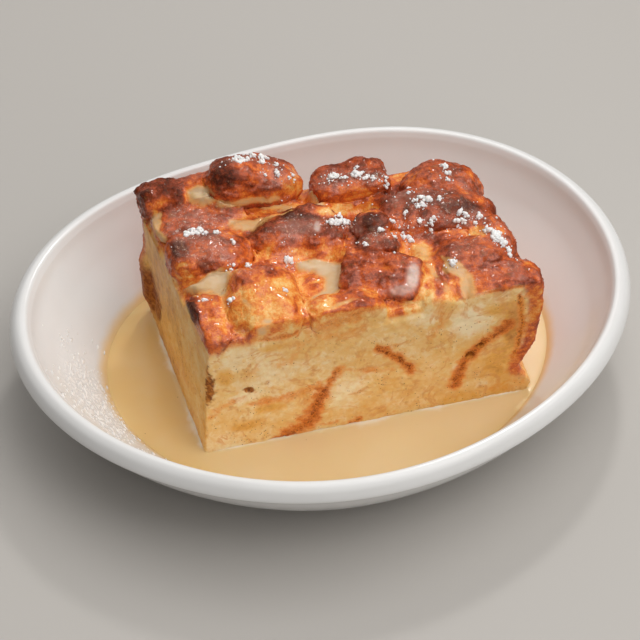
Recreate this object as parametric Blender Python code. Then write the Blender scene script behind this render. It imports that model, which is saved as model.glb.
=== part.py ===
"""A cut slab of bread pudding standing in custard sauce, in its shallow porcelain dish.

Three sub-parts: dish (a pebble-shaped coupe), custard (the pool of sauce, cut round the slab) and
pudding (the slab, with its bread chunks and its larger clumps of sugar as relief). Lengths are in
millimetres and turned into Blender's metres by MM. X runs along the slab's long cut face, -Y is the
side of that face, and Z is up from the surface that the dish stands on.
"""

import math
import random

import bmesh
import bpy
from mathutils import Euler, Vector, noise
from mathutils.bvhtree import BVHTree

MM = 0.001
GAP = 0.3

# The dish, seen from above: an oval that is blunter at one end and a little squared.
RIM_MEAN = 90.2
RIM_OVAL, RIM_OVAL_TURN = 10.6, math.radians(5.1)
RIM_EGG, RIM_EGG_TURN = 2.4, math.radians(35.7)
RIM_SQUARE, RIM_SQUARE_TURN = 0.5, math.radians(74.1)
DISH_SIDES = 60
DISH_HEIGHT = 37.4
FLOOR_Z = 6.0
FOOT_RECESS_Z = 2.0
# Its section, as (share of the rim's radius, height): up the outside, over the lip, down the inside.
OUTSIDE = (
    (0.53, FOOT_RECESS_Z),
    (0.56, 0.0),
    (0.62, 0.0),
    (0.66, 1.2),
    (0.75, 5.2),
    (0.81, 10.1),
    (0.90, 19.4),
    (0.94, 24.6),
    (0.968, 29.6),
    (0.979, 31.1),
    (0.996, 31.9),
    (1.0, 32.8),
    (0.995, 34.4),
)
LIP = ((0.984, 36.1), (0.968, 37.2), (0.955, DISH_HEIGHT))
INSIDE = (
    (0.943, 37.0),
    (0.932, 35.2),
    (0.916, 31.4),
    (0.885, 26.6),
    (0.849, 22.0),
    (0.762, 13.3),
    (0.724, 9.6),
    (0.704, 7.6),
    (0.682, FLOOR_Z),
)
# The inside's floor lies this far from the middle of the rim.
FLOOR_DRIFT = (1.2, -1.4)

CUSTARD_TOP_Z = 9.6

# The slab's plan at its foot and at the crust line. Front and left are knife cuts, back and right
# are the crust that stood against the baking tin.
SLAB_Z = FLOOR_Z + GAP
CRUST_LINE_Z = 55.0
SLAB_FOOT = ((-49.0, -33.0), (58.3, -33.0), (54.0, 34.0), (-52.5, 35.0))
SLAB_TOP = ((-46.0, -33.0), (58.3, -33.0), (52.5, 33.0), (-53.0, 35.0))
SLAB_MIDDLE = Vector((2.0, 1.0))
# The body's own top falls from the front to the back.
CORE_TOP_Z, CORE_TOP_FALL = 53.2, 0.055
CORE_TOP_SHARE = 0.95
CORNER_ROUND = 4.5
LONG_STEPS, SHORT_STEPS, CORNER_STEPS = 14, 9, 3
# The slab is made this much too large on its cut sides, and the knives take that away.
KNIFE_SPARE = 2.0
KNIFE_DEPTH, KNIFE_STEPS = 30.0, 8
KNIFE_LOW_Z, KNIFE_HIGH_Z = 1.0, 89.0
# How far the browned end stands out from the slab's plan at each height.
END_CRUST = ((6.3, -4.6), (8.2, -1.5), (10.4, 0.0), (13.6, 0.2), (17.0, -1.6), (21.0, -3.4), (25.0, -2.0),
             (31.0, 0.6), (40.0, 2.0), (48.0, 2.2), (54.0, 0.6), (60.0, -1.0))
CORE_LEVELS = (SLAB_Z, 8.2, 10.4, 13.6, 17.0, 20.4, 25.0, 31.0, 38.0, 45.0, 51.5)
PLAIN_BELOW_Z = 12.0
CRUST_RELIEF, CRUST_RELIEF_SIZE = 1.3, 9.0

# The bread that stands up out of the slab's top. Each piece of bread is a rounded block:
# centre, half size, turn in degrees (about Z, then tipped forward, then tipped sideways), and how
# square it is, where 2 is an egg and 5 a box.
BREAD = {
    "corner_back_left": ((-45.2, 33.6, 57.4), (10.8, 6.3, 6.3), (-15, 0, -12), 2.4),
    "neck_back_left": ((-34.0, 33.4, 58.8), (8.0, 5.5, 6.0), (0, 0, 0), 2.4),
    "pillow_back": ((-16.6, 30.1, 61.0), (16.2, 8.3, 8.0), (0, -10, 15), 2.7),
    "block_back": ((14.2, 26.8, 54.8), (12.1, 7.6, 6.8), (0, 0, -4), 4.2),
    "dome_back_right": ((42.3, 17.8, 53.0), (13.8, 10.8, 10.0), (0, 0, 12), 2.2),
    "loaf_right": ((33.0, 6.0, 55.0), (14.5, 9.5, 8.2), (0, 8, -4), 2.5),
    "loaf_end_right": ((46.5, 3.0, 54.5), (9.0, 9.0, 7.2), (-15, 4, 6), 2.4),
    "wedge_right": ((50.4, -10.6, 54.5), (5.8, 8.8, 7.0), (0, 0, 8), 2.6),
    "hump_front_right": ((41.5, -17.0, 54.8), (12.5, 8.0, 7.4), (0, 4, 0), 2.6),
    "leg_front_right": ((33.2, -23.0, 53.6), (3.8, 9.5, 6.0), (0, 14, 0), 2.6),
    "corner_front_right": ((46.5, -28.0, 53.5), (12.0, 7.5, 5.4), (0, 4, 2), 2.8),
    "rim_front_right": ((56.2, -27.0, 51.9), (4.1, 8.0, 6.0), (0, 0, 0), 2.8),
    "glossy_block": ((11.2, -19.0, 57.8), (12.0, 8.4, 3.8), (-27, 20, 0), 5.0),
    "knot_middle": ((14.2, 2.6, 58.2), (6.4, 5.0, 6.0), (10, 0, 0), 2.4),
    "knot_front": ((14.5, -5.5, 57.0), (6.8, 4.6, 5.2), (-15, 10, 0), 2.4),
    "pillow_middle": ((-8.2, 7.5, 55.8), (16.0, 8.8, 7.0), (0, 4, -6), 2.6),
    "side_middle_right": ((-1.5, -1.0, 53.0), (6.5, 5.5, 5.0), (0, 0, 0), 2.6),
    "side_middle_left": ((-14.0, 0.5, 52.5), (7.5, 6.0, 5.0), (0, 0, 0), 2.6),
    "flat_left": ((-36.5, 22.5, 54.5), (14.0, 8.5, 4.4), (0, 0, 0), 2.8),
    "fill_left": ((-25.0, 13.5, 53.0), (7.5, 6.5, 4.6), (0, 0, 0), 2.4),
    "lump_left": ((-37.0, 5.2, 55.0), (13.0, 9.0, 7.5), (-10, 0, 4), 2.6),
    "golden_front": ((-26.0, -21.0, 55.0), (11.5, 13.5, 8.8), (0, 6, 0), 2.8),
    "corner_front_left": ((-43.0, -21.0, 53.5), (7.5, 11.5, 5.8), (0, 0, 0), 2.6),
    "flake_front": ((-3.0, -29.5, 56.6), (11.5, 6.0, 5.0), (0, 0, 0), 3.0),
    "flake_middle": ((-6.0, -15.5, 51.5), (9.0, 7.5, 5.0), (0, 0, 0), 2.6),
    "pale_front": ((27.0, -22.0, 52.5), (8.0, 12.5, 6.0), (0, 0, 0), 2.6),
}
# Hollows that the knife opened in the cut faces: centre, half size, turn, as above.
HOLLOWS = {
    "crack_at_edge": ((-48.2, -33.6, 40.0), (2.0, 2.4, 9.0), (0, 0, 4), 2.2),
    "hole_front_left": ((-34.4, -33.6, 35.2), (2.2, 2.2, 1.3), (0, 0, 12), 2.0),
    "hole_swirl_upper": ((42.6, -33.4, 32.8), (1.1, 1.8, 1.3), (0, 0, 30), 2.0),
    "hole_swirl_lower": ((38.4, -33.4, 28.6), (1.5, 2.0, 1.7), (0, 0, 30), 2.0),
}
HOLLOW_CUTS = 2
# Clumps of sugar: middle (x, y), half width each way, how many.
SUGAR = {
    "pillow_crest": (-17.5, 32.6, 5.5, 1.6, 7),
    "pillow_side": (-9.7, 25.3, 3.5, 3.0, 2),
    "block_left": (7.0, 25.5, 4.0, 2.5, 4),
    "block_right": (15.0, 23.8, 4.0, 2.5, 4),
    "block_edge": (22.4, 20.8, 2.6, 2.0, 2),
    "pillow_end": (4.5, 5.5, 3.5, 3.5, 5),
    "loaf_top": (32.0, 7.5, 7.0, 4.0, 6),
    "loaf_front": (27.5, -3.0, 5.0, 3.0, 4),
    "loaf_end": (43.0, -3.6, 4.5, 2.6, 4),
    "dome": (43.4, 18.0, 2.0, 4.0, 2),
    "wedge": (50.4, -12.6, 2.0, 4.6, 7),
    "knot": (17.0, -5.0, 3.0, 3.0, 2),
    "lump_crest": (-38.5, 12.4, 4.0, 1.6, 5),
    "hump": (33.6, -21.6, 0.3, 0.3, 1),
    "corner": (-43.2, -15.6, 0.3, 0.3, 1),
    "golden_back": (-13.6, -2.0, 1.4, 1.8, 2),
    "lump_front": (-31.6, -4.0, 0.3, 0.3, 1),
}
CLUMP_RADIUS = (0.75, 1.35)
CLUMP_FLAT = 0.8
CLUMP_SEED = 11
CLUMP_DROP_Z = 200.0
BREAD_CUTS = 4
BREAD_RELIEF = 0.16
BREAD_RELIEF_SIZE = 7.0

DISH_COLOUR = (0.80, 0.77, 0.73)
CUSTARD_COLOUR = (0.79, 0.50, 0.23)
PUDDING_COLOUR = (0.60, 0.25, 0.07)


def clear_scene():
    for item in list(bpy.data.objects):
        bpy.data.objects.remove(item, do_unlink=True)


def material(name, colour, roughness):
    made = bpy.data.materials.new(name)
    made.use_nodes = True
    shader = made.node_tree.nodes["Principled BSDF"]
    shader.inputs["Base Color"].default_value = (*colour, 1.0)
    shader.inputs["Roughness"].default_value = roughness
    shader.inputs["Metallic"].default_value = 0.0
    return made


def new_object(name, bm, collection=None):
    bmesh.ops.recalc_face_normals(bm, faces=bm.faces)
    mesh = bpy.data.meshes.new(name)
    bm.to_mesh(mesh)
    bm.free()
    made = bpy.data.objects.new(name, mesh)
    (collection or bpy.context.scene.collection).objects.link(made)
    return made


def loft(name, rings, collection=None):
    """A closed body through rings of (x, y, z) in millimetres, with a flat face on either end."""
    bm = bmesh.new()
    loops = [[bm.verts.new(Vector(point) * MM) for point in ring] for ring in rings]
    count = len(loops[0])
    for lower, upper in zip(loops, loops[1:]):
        for k in range(count):
            after = (k + 1) % count
            bm.faces.new((lower[k], lower[after], upper[after], upper[k]))
    bm.faces.new(loops[0])
    bm.faces.new(loops[-1])
    return new_object(name, bm, collection)


def along(table, at):
    """Reads a value from ((position, value), ...) by straight lines."""
    if at <= table[0][0]:
        return table[0][1]
    for (a, low), (b, high) in zip(table, table[1:]):
        if at <= b:
            return low + (high - low) * (at - a) / (b - a)
    return table[-1][1]


def rim_radius(angle):
    oval = RIM_OVAL * math.cos(2 * (angle - RIM_OVAL_TURN))
    egg = RIM_EGG * math.cos(3 * (angle - RIM_EGG_TURN))
    square = RIM_SQUARE * math.cos(4 * (angle - RIM_SQUARE_TURN))
    return RIM_MEAN + oval + egg + square


def dish_ring(share, z, drift=0.0, inset=0.0):
    ring = []
    for k in range(DISH_SIDES):
        angle = 2 * math.pi * k / DISH_SIDES
        radius = share * rim_radius(angle) - inset
        x = radius * math.cos(angle) + drift * FLOOR_DRIFT[0]
        y = radius * math.sin(angle) + drift * FLOOR_DRIFT[1]
        ring.append((x, y, z))
    return ring


def inside_drift(share):
    lip, floor = INSIDE[0][0], INSIDE[-1][0]
    return min(1.0, max(0.0, (lip - share) / (lip - floor)))


def make_dish():
    rings = [dish_ring(share, z) for share, z in OUTSIDE + LIP]
    rings += [dish_ring(share, z, inside_drift(share)) for share, z in INSIDE]
    dish = loft("dish", rings)
    dish.data.materials.append(material("porcelain", DISH_COLOUR, 0.12))
    dish.data.shade_smooth()
    dish.data.set_sharp_from_angle(angle=math.radians(40))
    return dish


def slab_corners(z):
    share = (z - SLAB_Z) / (CRUST_LINE_Z - SLAB_Z)
    return [
        (a[0] + (b[0] - a[0]) * share, a[1] + (b[1] - a[1]) * share)
        for a, b in zip(SLAB_FOOT, SLAB_TOP)
    ]


def slab_outline(z, end_out, spare_cut=0.0, spare_crust=0.0):
    """The slab's plan at one height, with rounded corners, going round from the front left."""
    left_front, right_front, right_back, left_back = slab_corners(z)
    corners = [
        Vector((left_front[0] - spare_cut, left_front[1] - spare_cut)),
        Vector((right_front[0] + end_out + spare_crust, right_front[1] - spare_cut)),
        Vector((right_back[0] + end_out + spare_crust, right_back[1] + spare_crust)),
        Vector((left_back[0] - spare_cut, left_back[1] + spare_crust)),
    ]
    steps = (LONG_STEPS, SHORT_STEPS, LONG_STEPS, SHORT_STEPS)
    outline = []
    for side, (here, there) in enumerate(zip(corners, corners[1:] + corners[:1])):
        run = (there - here).normalized()
        start, stop = here + run * CORNER_ROUND, there - run * CORNER_ROUND
        for k in range(steps[side]):
            outline.append(start.lerp(stop, k / (steps[side] - 1)))
        beyond = corners[(side + 2) % 4]
        turned = there + (beyond - there).normalized() * CORNER_ROUND
        for k in range(1, CORNER_STEPS):
            t = k / CORNER_STEPS
            outline.append((1 - t) ** 2 * stop + 2 * t * (1 - t) * there + t ** 2 * turned)
    return outline


def make_core(collection):
    """The slab's body up to where the bread stands out of it."""
    rings = []
    for z in CORE_LEVELS:
        ring = []
        for point in slab_outline(z, along(END_CRUST, z), spare_cut=KNIFE_SPARE):
            out = (point - SLAB_MIDDLE).normalized()
            spot = Vector((point.x, point.y, z)) / CRUST_RELIEF_SIZE
            rough = CRUST_RELIEF * noise.noise(spot) if z > PLAIN_BELOW_Z else 0.0
            ring.append((point.x + out.x * rough, point.y + out.y * rough, z))
        rings.append(ring)
    top = []
    for x, y, _ in rings[-1]:
        inner = SLAB_MIDDLE + (Vector((x, y)) - SLAB_MIDDLE) * CORE_TOP_SHARE
        top.append((*inner, CORE_TOP_Z - CORE_TOP_FALL * inner.y))
    rings.append(top)
    return loft("core", rings, collection)


def make_lump(name, block, cuts, relief, seed, collection):
    """A rounded block with an uneven surface, from a cube whose faces are pulled in to an egg."""
    centre, half, turn, square = block
    bm = bmesh.new()
    bmesh.ops.create_cube(bm, size=2.0)
    bmesh.ops.subdivide_edges(bm, edges=bm.edges, cuts=cuts, use_grid_fill=True)
    yaw, forward, sideways = (math.radians(angle) for angle in turn)
    spin = Euler((forward, 0, yaw)).to_matrix() @ Euler((0, sideways, 0)).to_matrix()
    shift = Vector((seed * 7.3, seed * 3.1, seed * 5.7))
    for vert in bm.verts:
        x, y, z = vert.co
        reach = (abs(x) ** square + abs(y) ** square + abs(z) ** square) ** (1 / square)
        point = Vector((x * half[0], y * half[1], z * half[2])) / reach
        point *= 1 + relief * noise.noise(point / BREAD_RELIEF_SIZE + shift)
        vert.co = (spin @ point + Vector(centre)) * MM
    return new_object(name, bm, collection)


def make_clumps(carrier, collection):
    """Drops the clumps of sugar on to the bread and leaves each one sunk in by two thirds."""
    draw = random.Random(CLUMP_SEED)
    bm = bmesh.new()
    bm.from_mesh(carrier.data)
    surface = BVHTree.FromBMesh(bm)
    bm.free()
    down = Vector((0, 0, -1))
    for name, (x, y, half_x, half_y, count) in SUGAR.items():
        for k in range(count):
            turn, reach = draw.uniform(0, 2 * math.pi), math.sqrt(draw.random())
            start = Vector(((x + half_x * reach * math.cos(turn)) * MM,
                            (y + half_y * reach * math.sin(turn)) * MM, CLUMP_DROP_Z * MM))
            radius = draw.uniform(*CLUMP_RADIUS)
            spin = Euler([draw.uniform(0, math.pi) for _ in range(3)])
            spot, normal, _, _ = surface.ray_cast(start, down)
            bm = bmesh.new()
            bmesh.ops.create_icosphere(bm, subdivisions=1, radius=radius * MM)
            bmesh.ops.rotate(bm, verts=bm.verts, matrix=spin.to_matrix())
            bmesh.ops.scale(bm, verts=bm.verts, vec=(1, 1, CLUMP_FLAT))
            bmesh.ops.translate(bm, verts=bm.verts, vec=spot + normal * radius * MM / 3)
            new_object(f"{name}_{k}", bm, collection)


def keep_outer_shell(item):
    """Fills the hollows that fusing sealed and drops loose scraps: only the largest shell stays."""
    bm = bmesh.new()
    bm.from_mesh(item.data)
    shells, seen = [], set()
    for start in bm.verts:
        if start in seen:
            continue
        seen.add(start)
        shell, edge = [start], [start]
        while edge:
            beside = [link.other_vert(vert) for vert in edge for link in vert.link_edges]
            edge = [vert for vert in dict.fromkeys(beside) if vert not in seen]
            seen.update(edge)
            shell += edge
        shells.append(shell)
    shells.sort(key=len)
    for shell in shells[:-1]:
        bmesh.ops.delete(bm, geom=shell, context="VERTS")
    bm.to_mesh(item.data)
    bm.free()


def apply_modifiers(item):
    graph = bpy.context.evaluated_depsgraph_get()
    baked = bpy.data.meshes.new_from_object(item.evaluated_get(graph))
    item.modifiers.clear()
    item.data = baked


def empty_collection(collection):
    for item in list(collection.objects):
        bpy.data.objects.remove(item, do_unlink=True)
    bpy.data.collections.remove(collection)


def boolean(item, collection, operation):
    cut = item.modifiers.new(operation.lower(), "BOOLEAN")
    cut.operand_type = "COLLECTION"
    cut.collection = collection
    cut.operation = operation
    cut.solver = "EXACT"
    apply_modifiers(item)
    empty_collection(collection)


def new_collection(name):
    made = bpy.data.collections.new(name)
    bpy.context.scene.collection.children.link(made)
    return made


def make_knives(collection):
    """Two blocks that take away what is past the front and the left cut."""

    def block(name, start, stop, out):
        rings = []
        for level in range(KNIFE_STEPS + 1):
            z = KNIFE_LOW_Z + (KNIFE_HIGH_Z - KNIFE_LOW_Z) * level / KNIFE_STEPS
            corners = slab_corners(z)
            a, b = Vector(corners[start]), Vector(corners[stop])
            near = [a.lerp(b, k / KNIFE_STEPS) for k in range(-2, KNIFE_STEPS + 3)]
            rings.append([(*point, z) for point in near + [near[-1] + out, near[0] + out]])
        loft(name, rings, collection)

    block("front_knife", 0, 1, Vector((0.0, -KNIFE_DEPTH)))
    block("left_knife", 0, 3, Vector((-KNIFE_DEPTH, 0.0)))


def make_pudding():
    pudding = make_core(None)
    pudding.name = "pudding"
    bread = new_collection("bread")
    for seed, (name, block) in enumerate(BREAD.items()):
        make_lump(name, block, BREAD_CUTS, BREAD_RELIEF, seed, bread)
    boolean(pudding, bread, "UNION")
    knives = new_collection("knives")
    make_knives(knives)
    for seed, (name, block) in enumerate(HOLLOWS.items()):
        make_lump(name, block, HOLLOW_CUTS, BREAD_RELIEF, seed, knives)
    boolean(pudding, knives, "DIFFERENCE")
    sugar = new_collection("sugar")
    make_clumps(pudding, sugar)
    boolean(pudding, sugar, "UNION")
    keep_outer_shell(pudding)
    pudding.data.materials.clear()
    pudding.data.materials.append(material("baked_pudding", PUDDING_COLOUR, 0.3))
    pudding.data.shade_smooth()
    pudding.data.set_sharp_from_angle(angle=math.radians(45))
    return pudding


def beside_cuts(point, z):
    """Brings a point of the slab's plan in to a gap outside the front and the left cut."""
    left_front, _, _, left_back = slab_corners(z)
    y = max(point.y, left_front[1] - GAP)
    share = (y - left_front[1]) / (left_back[1] - left_front[1])
    left_x = left_front[0] + (left_back[0] - left_front[0]) * share
    return max(point.x, left_x - GAP), y


def make_custard():
    """The pool, level on top, with its underside a gap above the dish and a gap round the slab."""
    shares = [(share, z) for share, z in INSIDE if z < CUSTARD_TOP_Z]
    wall = [(z, share) for share, z in reversed(INSIDE)]
    levels = [CUSTARD_TOP_Z] + [z for _, z in shares[:-1]] + [SLAB_Z]
    rings = []
    for z in levels:
        share = along(wall, z - GAP * 0.5)
        rings.append(dish_ring(share, z, inside_drift(share), inset=GAP * 1.5))
    custard = loft("custard", rings)
    cutters = new_collection("slab_room")
    outlines = []
    for z in (SLAB_Z - 3.0, CUSTARD_TOP_Z + 3.0):
        ring = slab_outline(z, 0.2, spare_cut=KNIFE_SPARE, spare_crust=GAP)
        outlines.append([(*beside_cuts(point, z), z) for point in ring])
    loft("slab_cutter", outlines, cutters)
    boolean(custard, cutters, "DIFFERENCE")
    custard.data.materials.clear()
    custard.data.materials.append(material("custard_sauce", CUSTARD_COLOUR, 0.2))
    return custard


def centre_of_rim():
    points = dish_ring(1.0, 0.0)
    xs, ys = [p[0] for p in points], [p[1] for p in points]
    return (min(xs) + max(xs)) / 2, (min(ys) + max(ys)) / 2


def main():
    clear_scene()
    served = bpy.data.objects.new("served_pudding", None)
    bpy.context.scene.collection.objects.link(served)
    x, y = centre_of_rim()
    served.location = (-x * MM, -y * MM, 0.0)
    for item in (make_dish(), make_custard(), make_pudding()):
        item.parent = served


main()
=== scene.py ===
"""Looks of the bread pudding: baked slab, sugar and glaze, custard sauce and porcelain dish."""

import math
import random

import bmesh
import bpy
import numpy as np
from mathutils import Euler, Matrix, Vector, noise
from mathutils.bvhtree import BVHTree

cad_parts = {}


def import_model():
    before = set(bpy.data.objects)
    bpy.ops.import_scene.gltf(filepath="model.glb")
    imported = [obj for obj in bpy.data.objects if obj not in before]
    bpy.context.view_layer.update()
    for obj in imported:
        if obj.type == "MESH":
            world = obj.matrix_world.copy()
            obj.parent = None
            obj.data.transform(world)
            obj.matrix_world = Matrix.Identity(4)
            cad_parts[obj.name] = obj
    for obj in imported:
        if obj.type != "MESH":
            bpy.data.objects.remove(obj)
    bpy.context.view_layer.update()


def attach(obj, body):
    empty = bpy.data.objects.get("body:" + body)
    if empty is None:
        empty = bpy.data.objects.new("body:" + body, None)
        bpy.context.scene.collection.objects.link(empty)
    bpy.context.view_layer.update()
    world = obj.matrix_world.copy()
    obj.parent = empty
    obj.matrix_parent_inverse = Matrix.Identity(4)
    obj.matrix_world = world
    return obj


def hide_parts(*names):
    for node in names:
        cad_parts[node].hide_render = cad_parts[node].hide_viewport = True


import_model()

MM = 0.001
GAP = 0.3

# The camera that the photograph was taken with, worked out from the slab's edges and the rim.
CAMERA_LENS, CAMERA_SENSOR = 112.5, 36
CAMERA_DISTANCE = 651.5
CAMERA_AIM = (-1.6, 4.6, 20)
CAMERA_ELEVATION, CAMERA_AZIMUTH = math.radians(45), math.radians(-15)
CAMERA_RIGHT = (math.cos(CAMERA_AZIMUTH), math.sin(CAMERA_AZIMUTH), 0)
CAMERA_BACK = (math.sin(CAMERA_AZIMUTH) * math.cos(CAMERA_ELEVATION),
               -math.cos(CAMERA_AZIMUTH) * math.cos(CAMERA_ELEVATION), math.sin(CAMERA_ELEVATION))
CAMERA_CLIP_START = 0.01
PICTURE = 640

# The dish, as in the part's source.
RIM_MEAN = 90.2
RIM_OVAL, RIM_OVAL_TURN = 10.6, math.radians(5.1)
RIM_EGG, RIM_EGG_TURN = 2.4, math.radians(35.7)
RIM_SQUARE, RIM_SQUARE_TURN = 0.5, math.radians(74.1)
SOURCE_SIDES = 60
DISH_HEIGHT, FLOOR_Z, FOOT_RECESS_Z = 37.4, 6, 2
FLOOR_DRIFT = (1.2, -1.4)
OUTSIDE = (
    (0.53, FOOT_RECESS_Z),
    (0.56, 0),
    (0.62, 0),
    (0.66, 1.2),
    (0.75, 5.2),
    (0.81, 10.1),
    (0.9, 19.4),
    (0.94, 24.6),
    (0.968, 29.6),
    (0.979, 31.1),
    (0.996, 31.9),
    (1, 32.8),
    (0.995, 34.4),
)
LIP = ((0.984, 36.1), (0.968, 37.2), (0.955, DISH_HEIGHT))
INSIDE = (
    (0.943, 37),
    (0.932, 35.2),
    (0.916, 31.4),
    (0.885, 26.6),
    (0.849, 22),
    (0.762, 13.3),
    (0.724, 9.6),
    (0.704, 7.6),
    (0.682, FLOOR_Z),
)
CUSTARD_TOP_Z = 9.6

# The slab, as in the part's source.
SLAB_Z = FLOOR_Z + GAP
CRUST_LINE_Z = 55
SLAB_FOOT = ((-49, -33), (58.3, -33), (54, 34), (-52.5, 35))
SLAB_TOP = ((-46, -33), (58.3, -33), (52.5, 33), (-53, 35))
SLAB_MIDDLE = Vector((2, 1))
CORE_TOP_Z, CORE_TOP_FALL = 53.2, 0.055
CORE_TOP_SHARE = 0.95
CORNER_ROUND, CORNER_STEPS = 4.5, 8
KNIFE_SPARE = 2
END_CRUST = ((6.3, -4.6), (8.2, -1.5), (10.4, 0), (13.6, 0.2), (17, -1.6), (21, -3.4), (25, -2),
             (31, 0.6), (40, 2), (48, 2.2), (54, 0.6), (60, -1))
PLAIN_BELOW_Z = 12
CRUST_RELIEF = 1.3
# Pieces of bread: middle, half sizes, turn, forward and sideways tilt in degrees, squareness, and how brown
# the crest and the sides are: 0 is pale custard, 1 almost black.
BREAD = {
    "corner_back_left": ((-45.2, 33.6, 57.4), (10.8, 6.3, 6.3), (-15, 0, -12), 2.4, (0.8, 0.6)),
    "neck_back_left": ((-34, 33.4, 58.8), (8, 5.5, 6), (0, 0, 0), 2.4, (0.6, 0.46)),
    "pillow_back": ((-16.6, 30.1, 61), (16.2, 8.3, 8), (0, -10, 15), 2.7, (0.72, 0.6)),
    "block_back": ((14.2, 26.8, 54.8), (12.1, 7.6, 6.8), (0, 0, -4), 4.2, (0.74, 0.44)),
    "dome_back_right": ((42.3, 17.8, 53), (13.8, 10.8, 10), (0, 0, 12), 2.2, (0.64, 0.58)),
    "loaf_right": ((33, 6, 55), (14.5, 9.5, 8.2), (0, 8, -4), 2.5, (0.82, 0.58)),
    "loaf_end_right": ((46.5, 3, 54.5), (9, 9, 7.2), (-15, 4, 6), 2.4, (0.76, 0.6)),
    "wedge_right": ((50.4, -10.6, 54.5), (5.8, 8.8, 7), (0, 0, 8), 2.6, (0.58, 0.5)),
    "hump_front_right": ((41.5, -17, 54.8), (12.5, 8, 7.4), (0, 4, 0), 2.6, (0.7, 0.44)),
    "leg_front_right": ((33.2, -23, 53.6), (3.8, 9.5, 6), (0, 14, 0), 2.6, (0.6, 0.52)),
    "corner_front_right": ((46.5, -28, 53.5), (12, 7.5, 5.4), (0, 4, 2), 2.8, (0.62, 0.4)),
    "rim_front_right": ((56.2, -27, 51.9), (4.1, 8, 6), (0, 0, 0), 2.8, (0.56, 0.5)),
    "glossy_block": ((11.2, -19, 57.8), (12, 8.4, 3.8), (-27, 20, 0), 5, (0.66, 0.6)),
    "knot_middle": ((14.2, 2.6, 58.2), (6.4, 5, 6), (10, 0, 0), 2.4, (0.84, 0.66)),
    "knot_front": ((14.5, -5.5, 57), (6.8, 4.6, 5.2), (-15, 10, 0), 2.4, (0.74, 0.62)),
    "pillow_middle": ((-8.2, 7.5, 55.8), (16, 8.8, 7), (0, 4, -6), 2.6, (0.84, 0.48)),
    "side_middle_right": ((-1.5, -1, 53), (6.5, 5.5, 5), (0, 0, 0), 2.6, (0.42, 0.32)),
    "side_middle_left": ((-14, 0.5, 52.5), (7.5, 6, 5), (0, 0, 0), 2.6, (0.42, 0.32)),
    "flat_left": ((-36.5, 22.5, 54.5), (14, 8.5, 4.4), (0, 0, 0), 2.8, (0.66, 0.52)),
    "fill_left": ((-25, 13.5, 53), (7.5, 6.5, 4.6), (0, 0, 0), 2.4, (0.36, 0.28)),
    "lump_left": ((-37, 5.2, 55), (13, 9, 7.5), (-10, 0, 4), 2.6, (0.7, 0.52)),
    "golden_front": ((-26, -21, 55), (11.5, 13.5, 8.8), (0, 6, 0), 2.8, (0.22, 0.14)),
    "corner_front_left": ((-43, -21, 53.5), (7.5, 11.5, 5.8), (0, 0, 0), 2.6, (0.54, 0.46)),
    "flake_front": ((-3, -29.5, 56.6), (11.5, 6, 5), (0, 0, 0), 3, (0.24, 0.18)),
    "flake_middle": ((-6, -15.5, 51.5), (9, 7.5, 5), (0, 0, 0), 2.6, (0.28, 0.2)),
    "pale_front": ((27, -22, 52.5), (8, 12.5, 6), (0, 0, 0), 2.6, (0.12, 0.08)),
}
BREAD_RELIEF = 0.16
BREAD_RELIEF_SIZE = 7
BREAD_CUTS = 22

# Hollows in the cuts: middle, half sizes, and which way the knife went in.
HOLLOWS = {
    "crack_at_edge": ((-47.8, -33.6, 38.5), (3, 2.2, 8.5), (1, 0.6)),
    "hole_front_left": ((-34.2, -33.6, 34.6), (1.5, 2, 1), (0, 1)),
    "hole_swirl_upper": ((40.3, -33.4, 34.3), (1, 1.8, 1), (0, 1)),
    "hole_swirl_lower": ((36.9, -33.4, 30.7), (1.3, 2, 1.4), (0, 1)),
}
# Where clumps of sugar lie: x, y, half sizes of the place, and how many.
SUGAR = {
    "pillow_crest": (-17.5, 32.6, 5.5, 1.6, 7),
    "pillow_side": (-9.7, 25.3, 3.5, 3, 2),
    "block_left": (7, 25.5, 4, 2.5, 4),
    "block_right": (15, 23.8, 4, 2.5, 4),
    "block_edge": (22.4, 20.8, 2.6, 2, 2),
    "pillow_end": (4.5, 5.5, 3.5, 3.5, 5),
    "loaf_top": (32, 7.5, 7, 4, 6),
    "loaf_front": (27.5, -3, 5, 3, 4),
    "loaf_end": (43, -3.6, 4.5, 2.6, 4),
    "dome": (43.4, 18, 2, 4, 2),
    "wedge": (50.4, -12.6, 2, 4.6, 7),
    "knot": (17, -5, 3, 3, 2),
    "lump_crest": (-38.5, 12.4, 4, 1.6, 5),
    "hump": (33.6, -21.6, 0.3, 0.3, 1),
    "corner": (-43.2, -15.6, 0.3, 0.3, 1),
    "golden_back": (-13.6, -2, 1.4, 1.8, 2),
    "lump_front": (-31.6, -4, 0.3, 0.3, 1),
}
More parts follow.
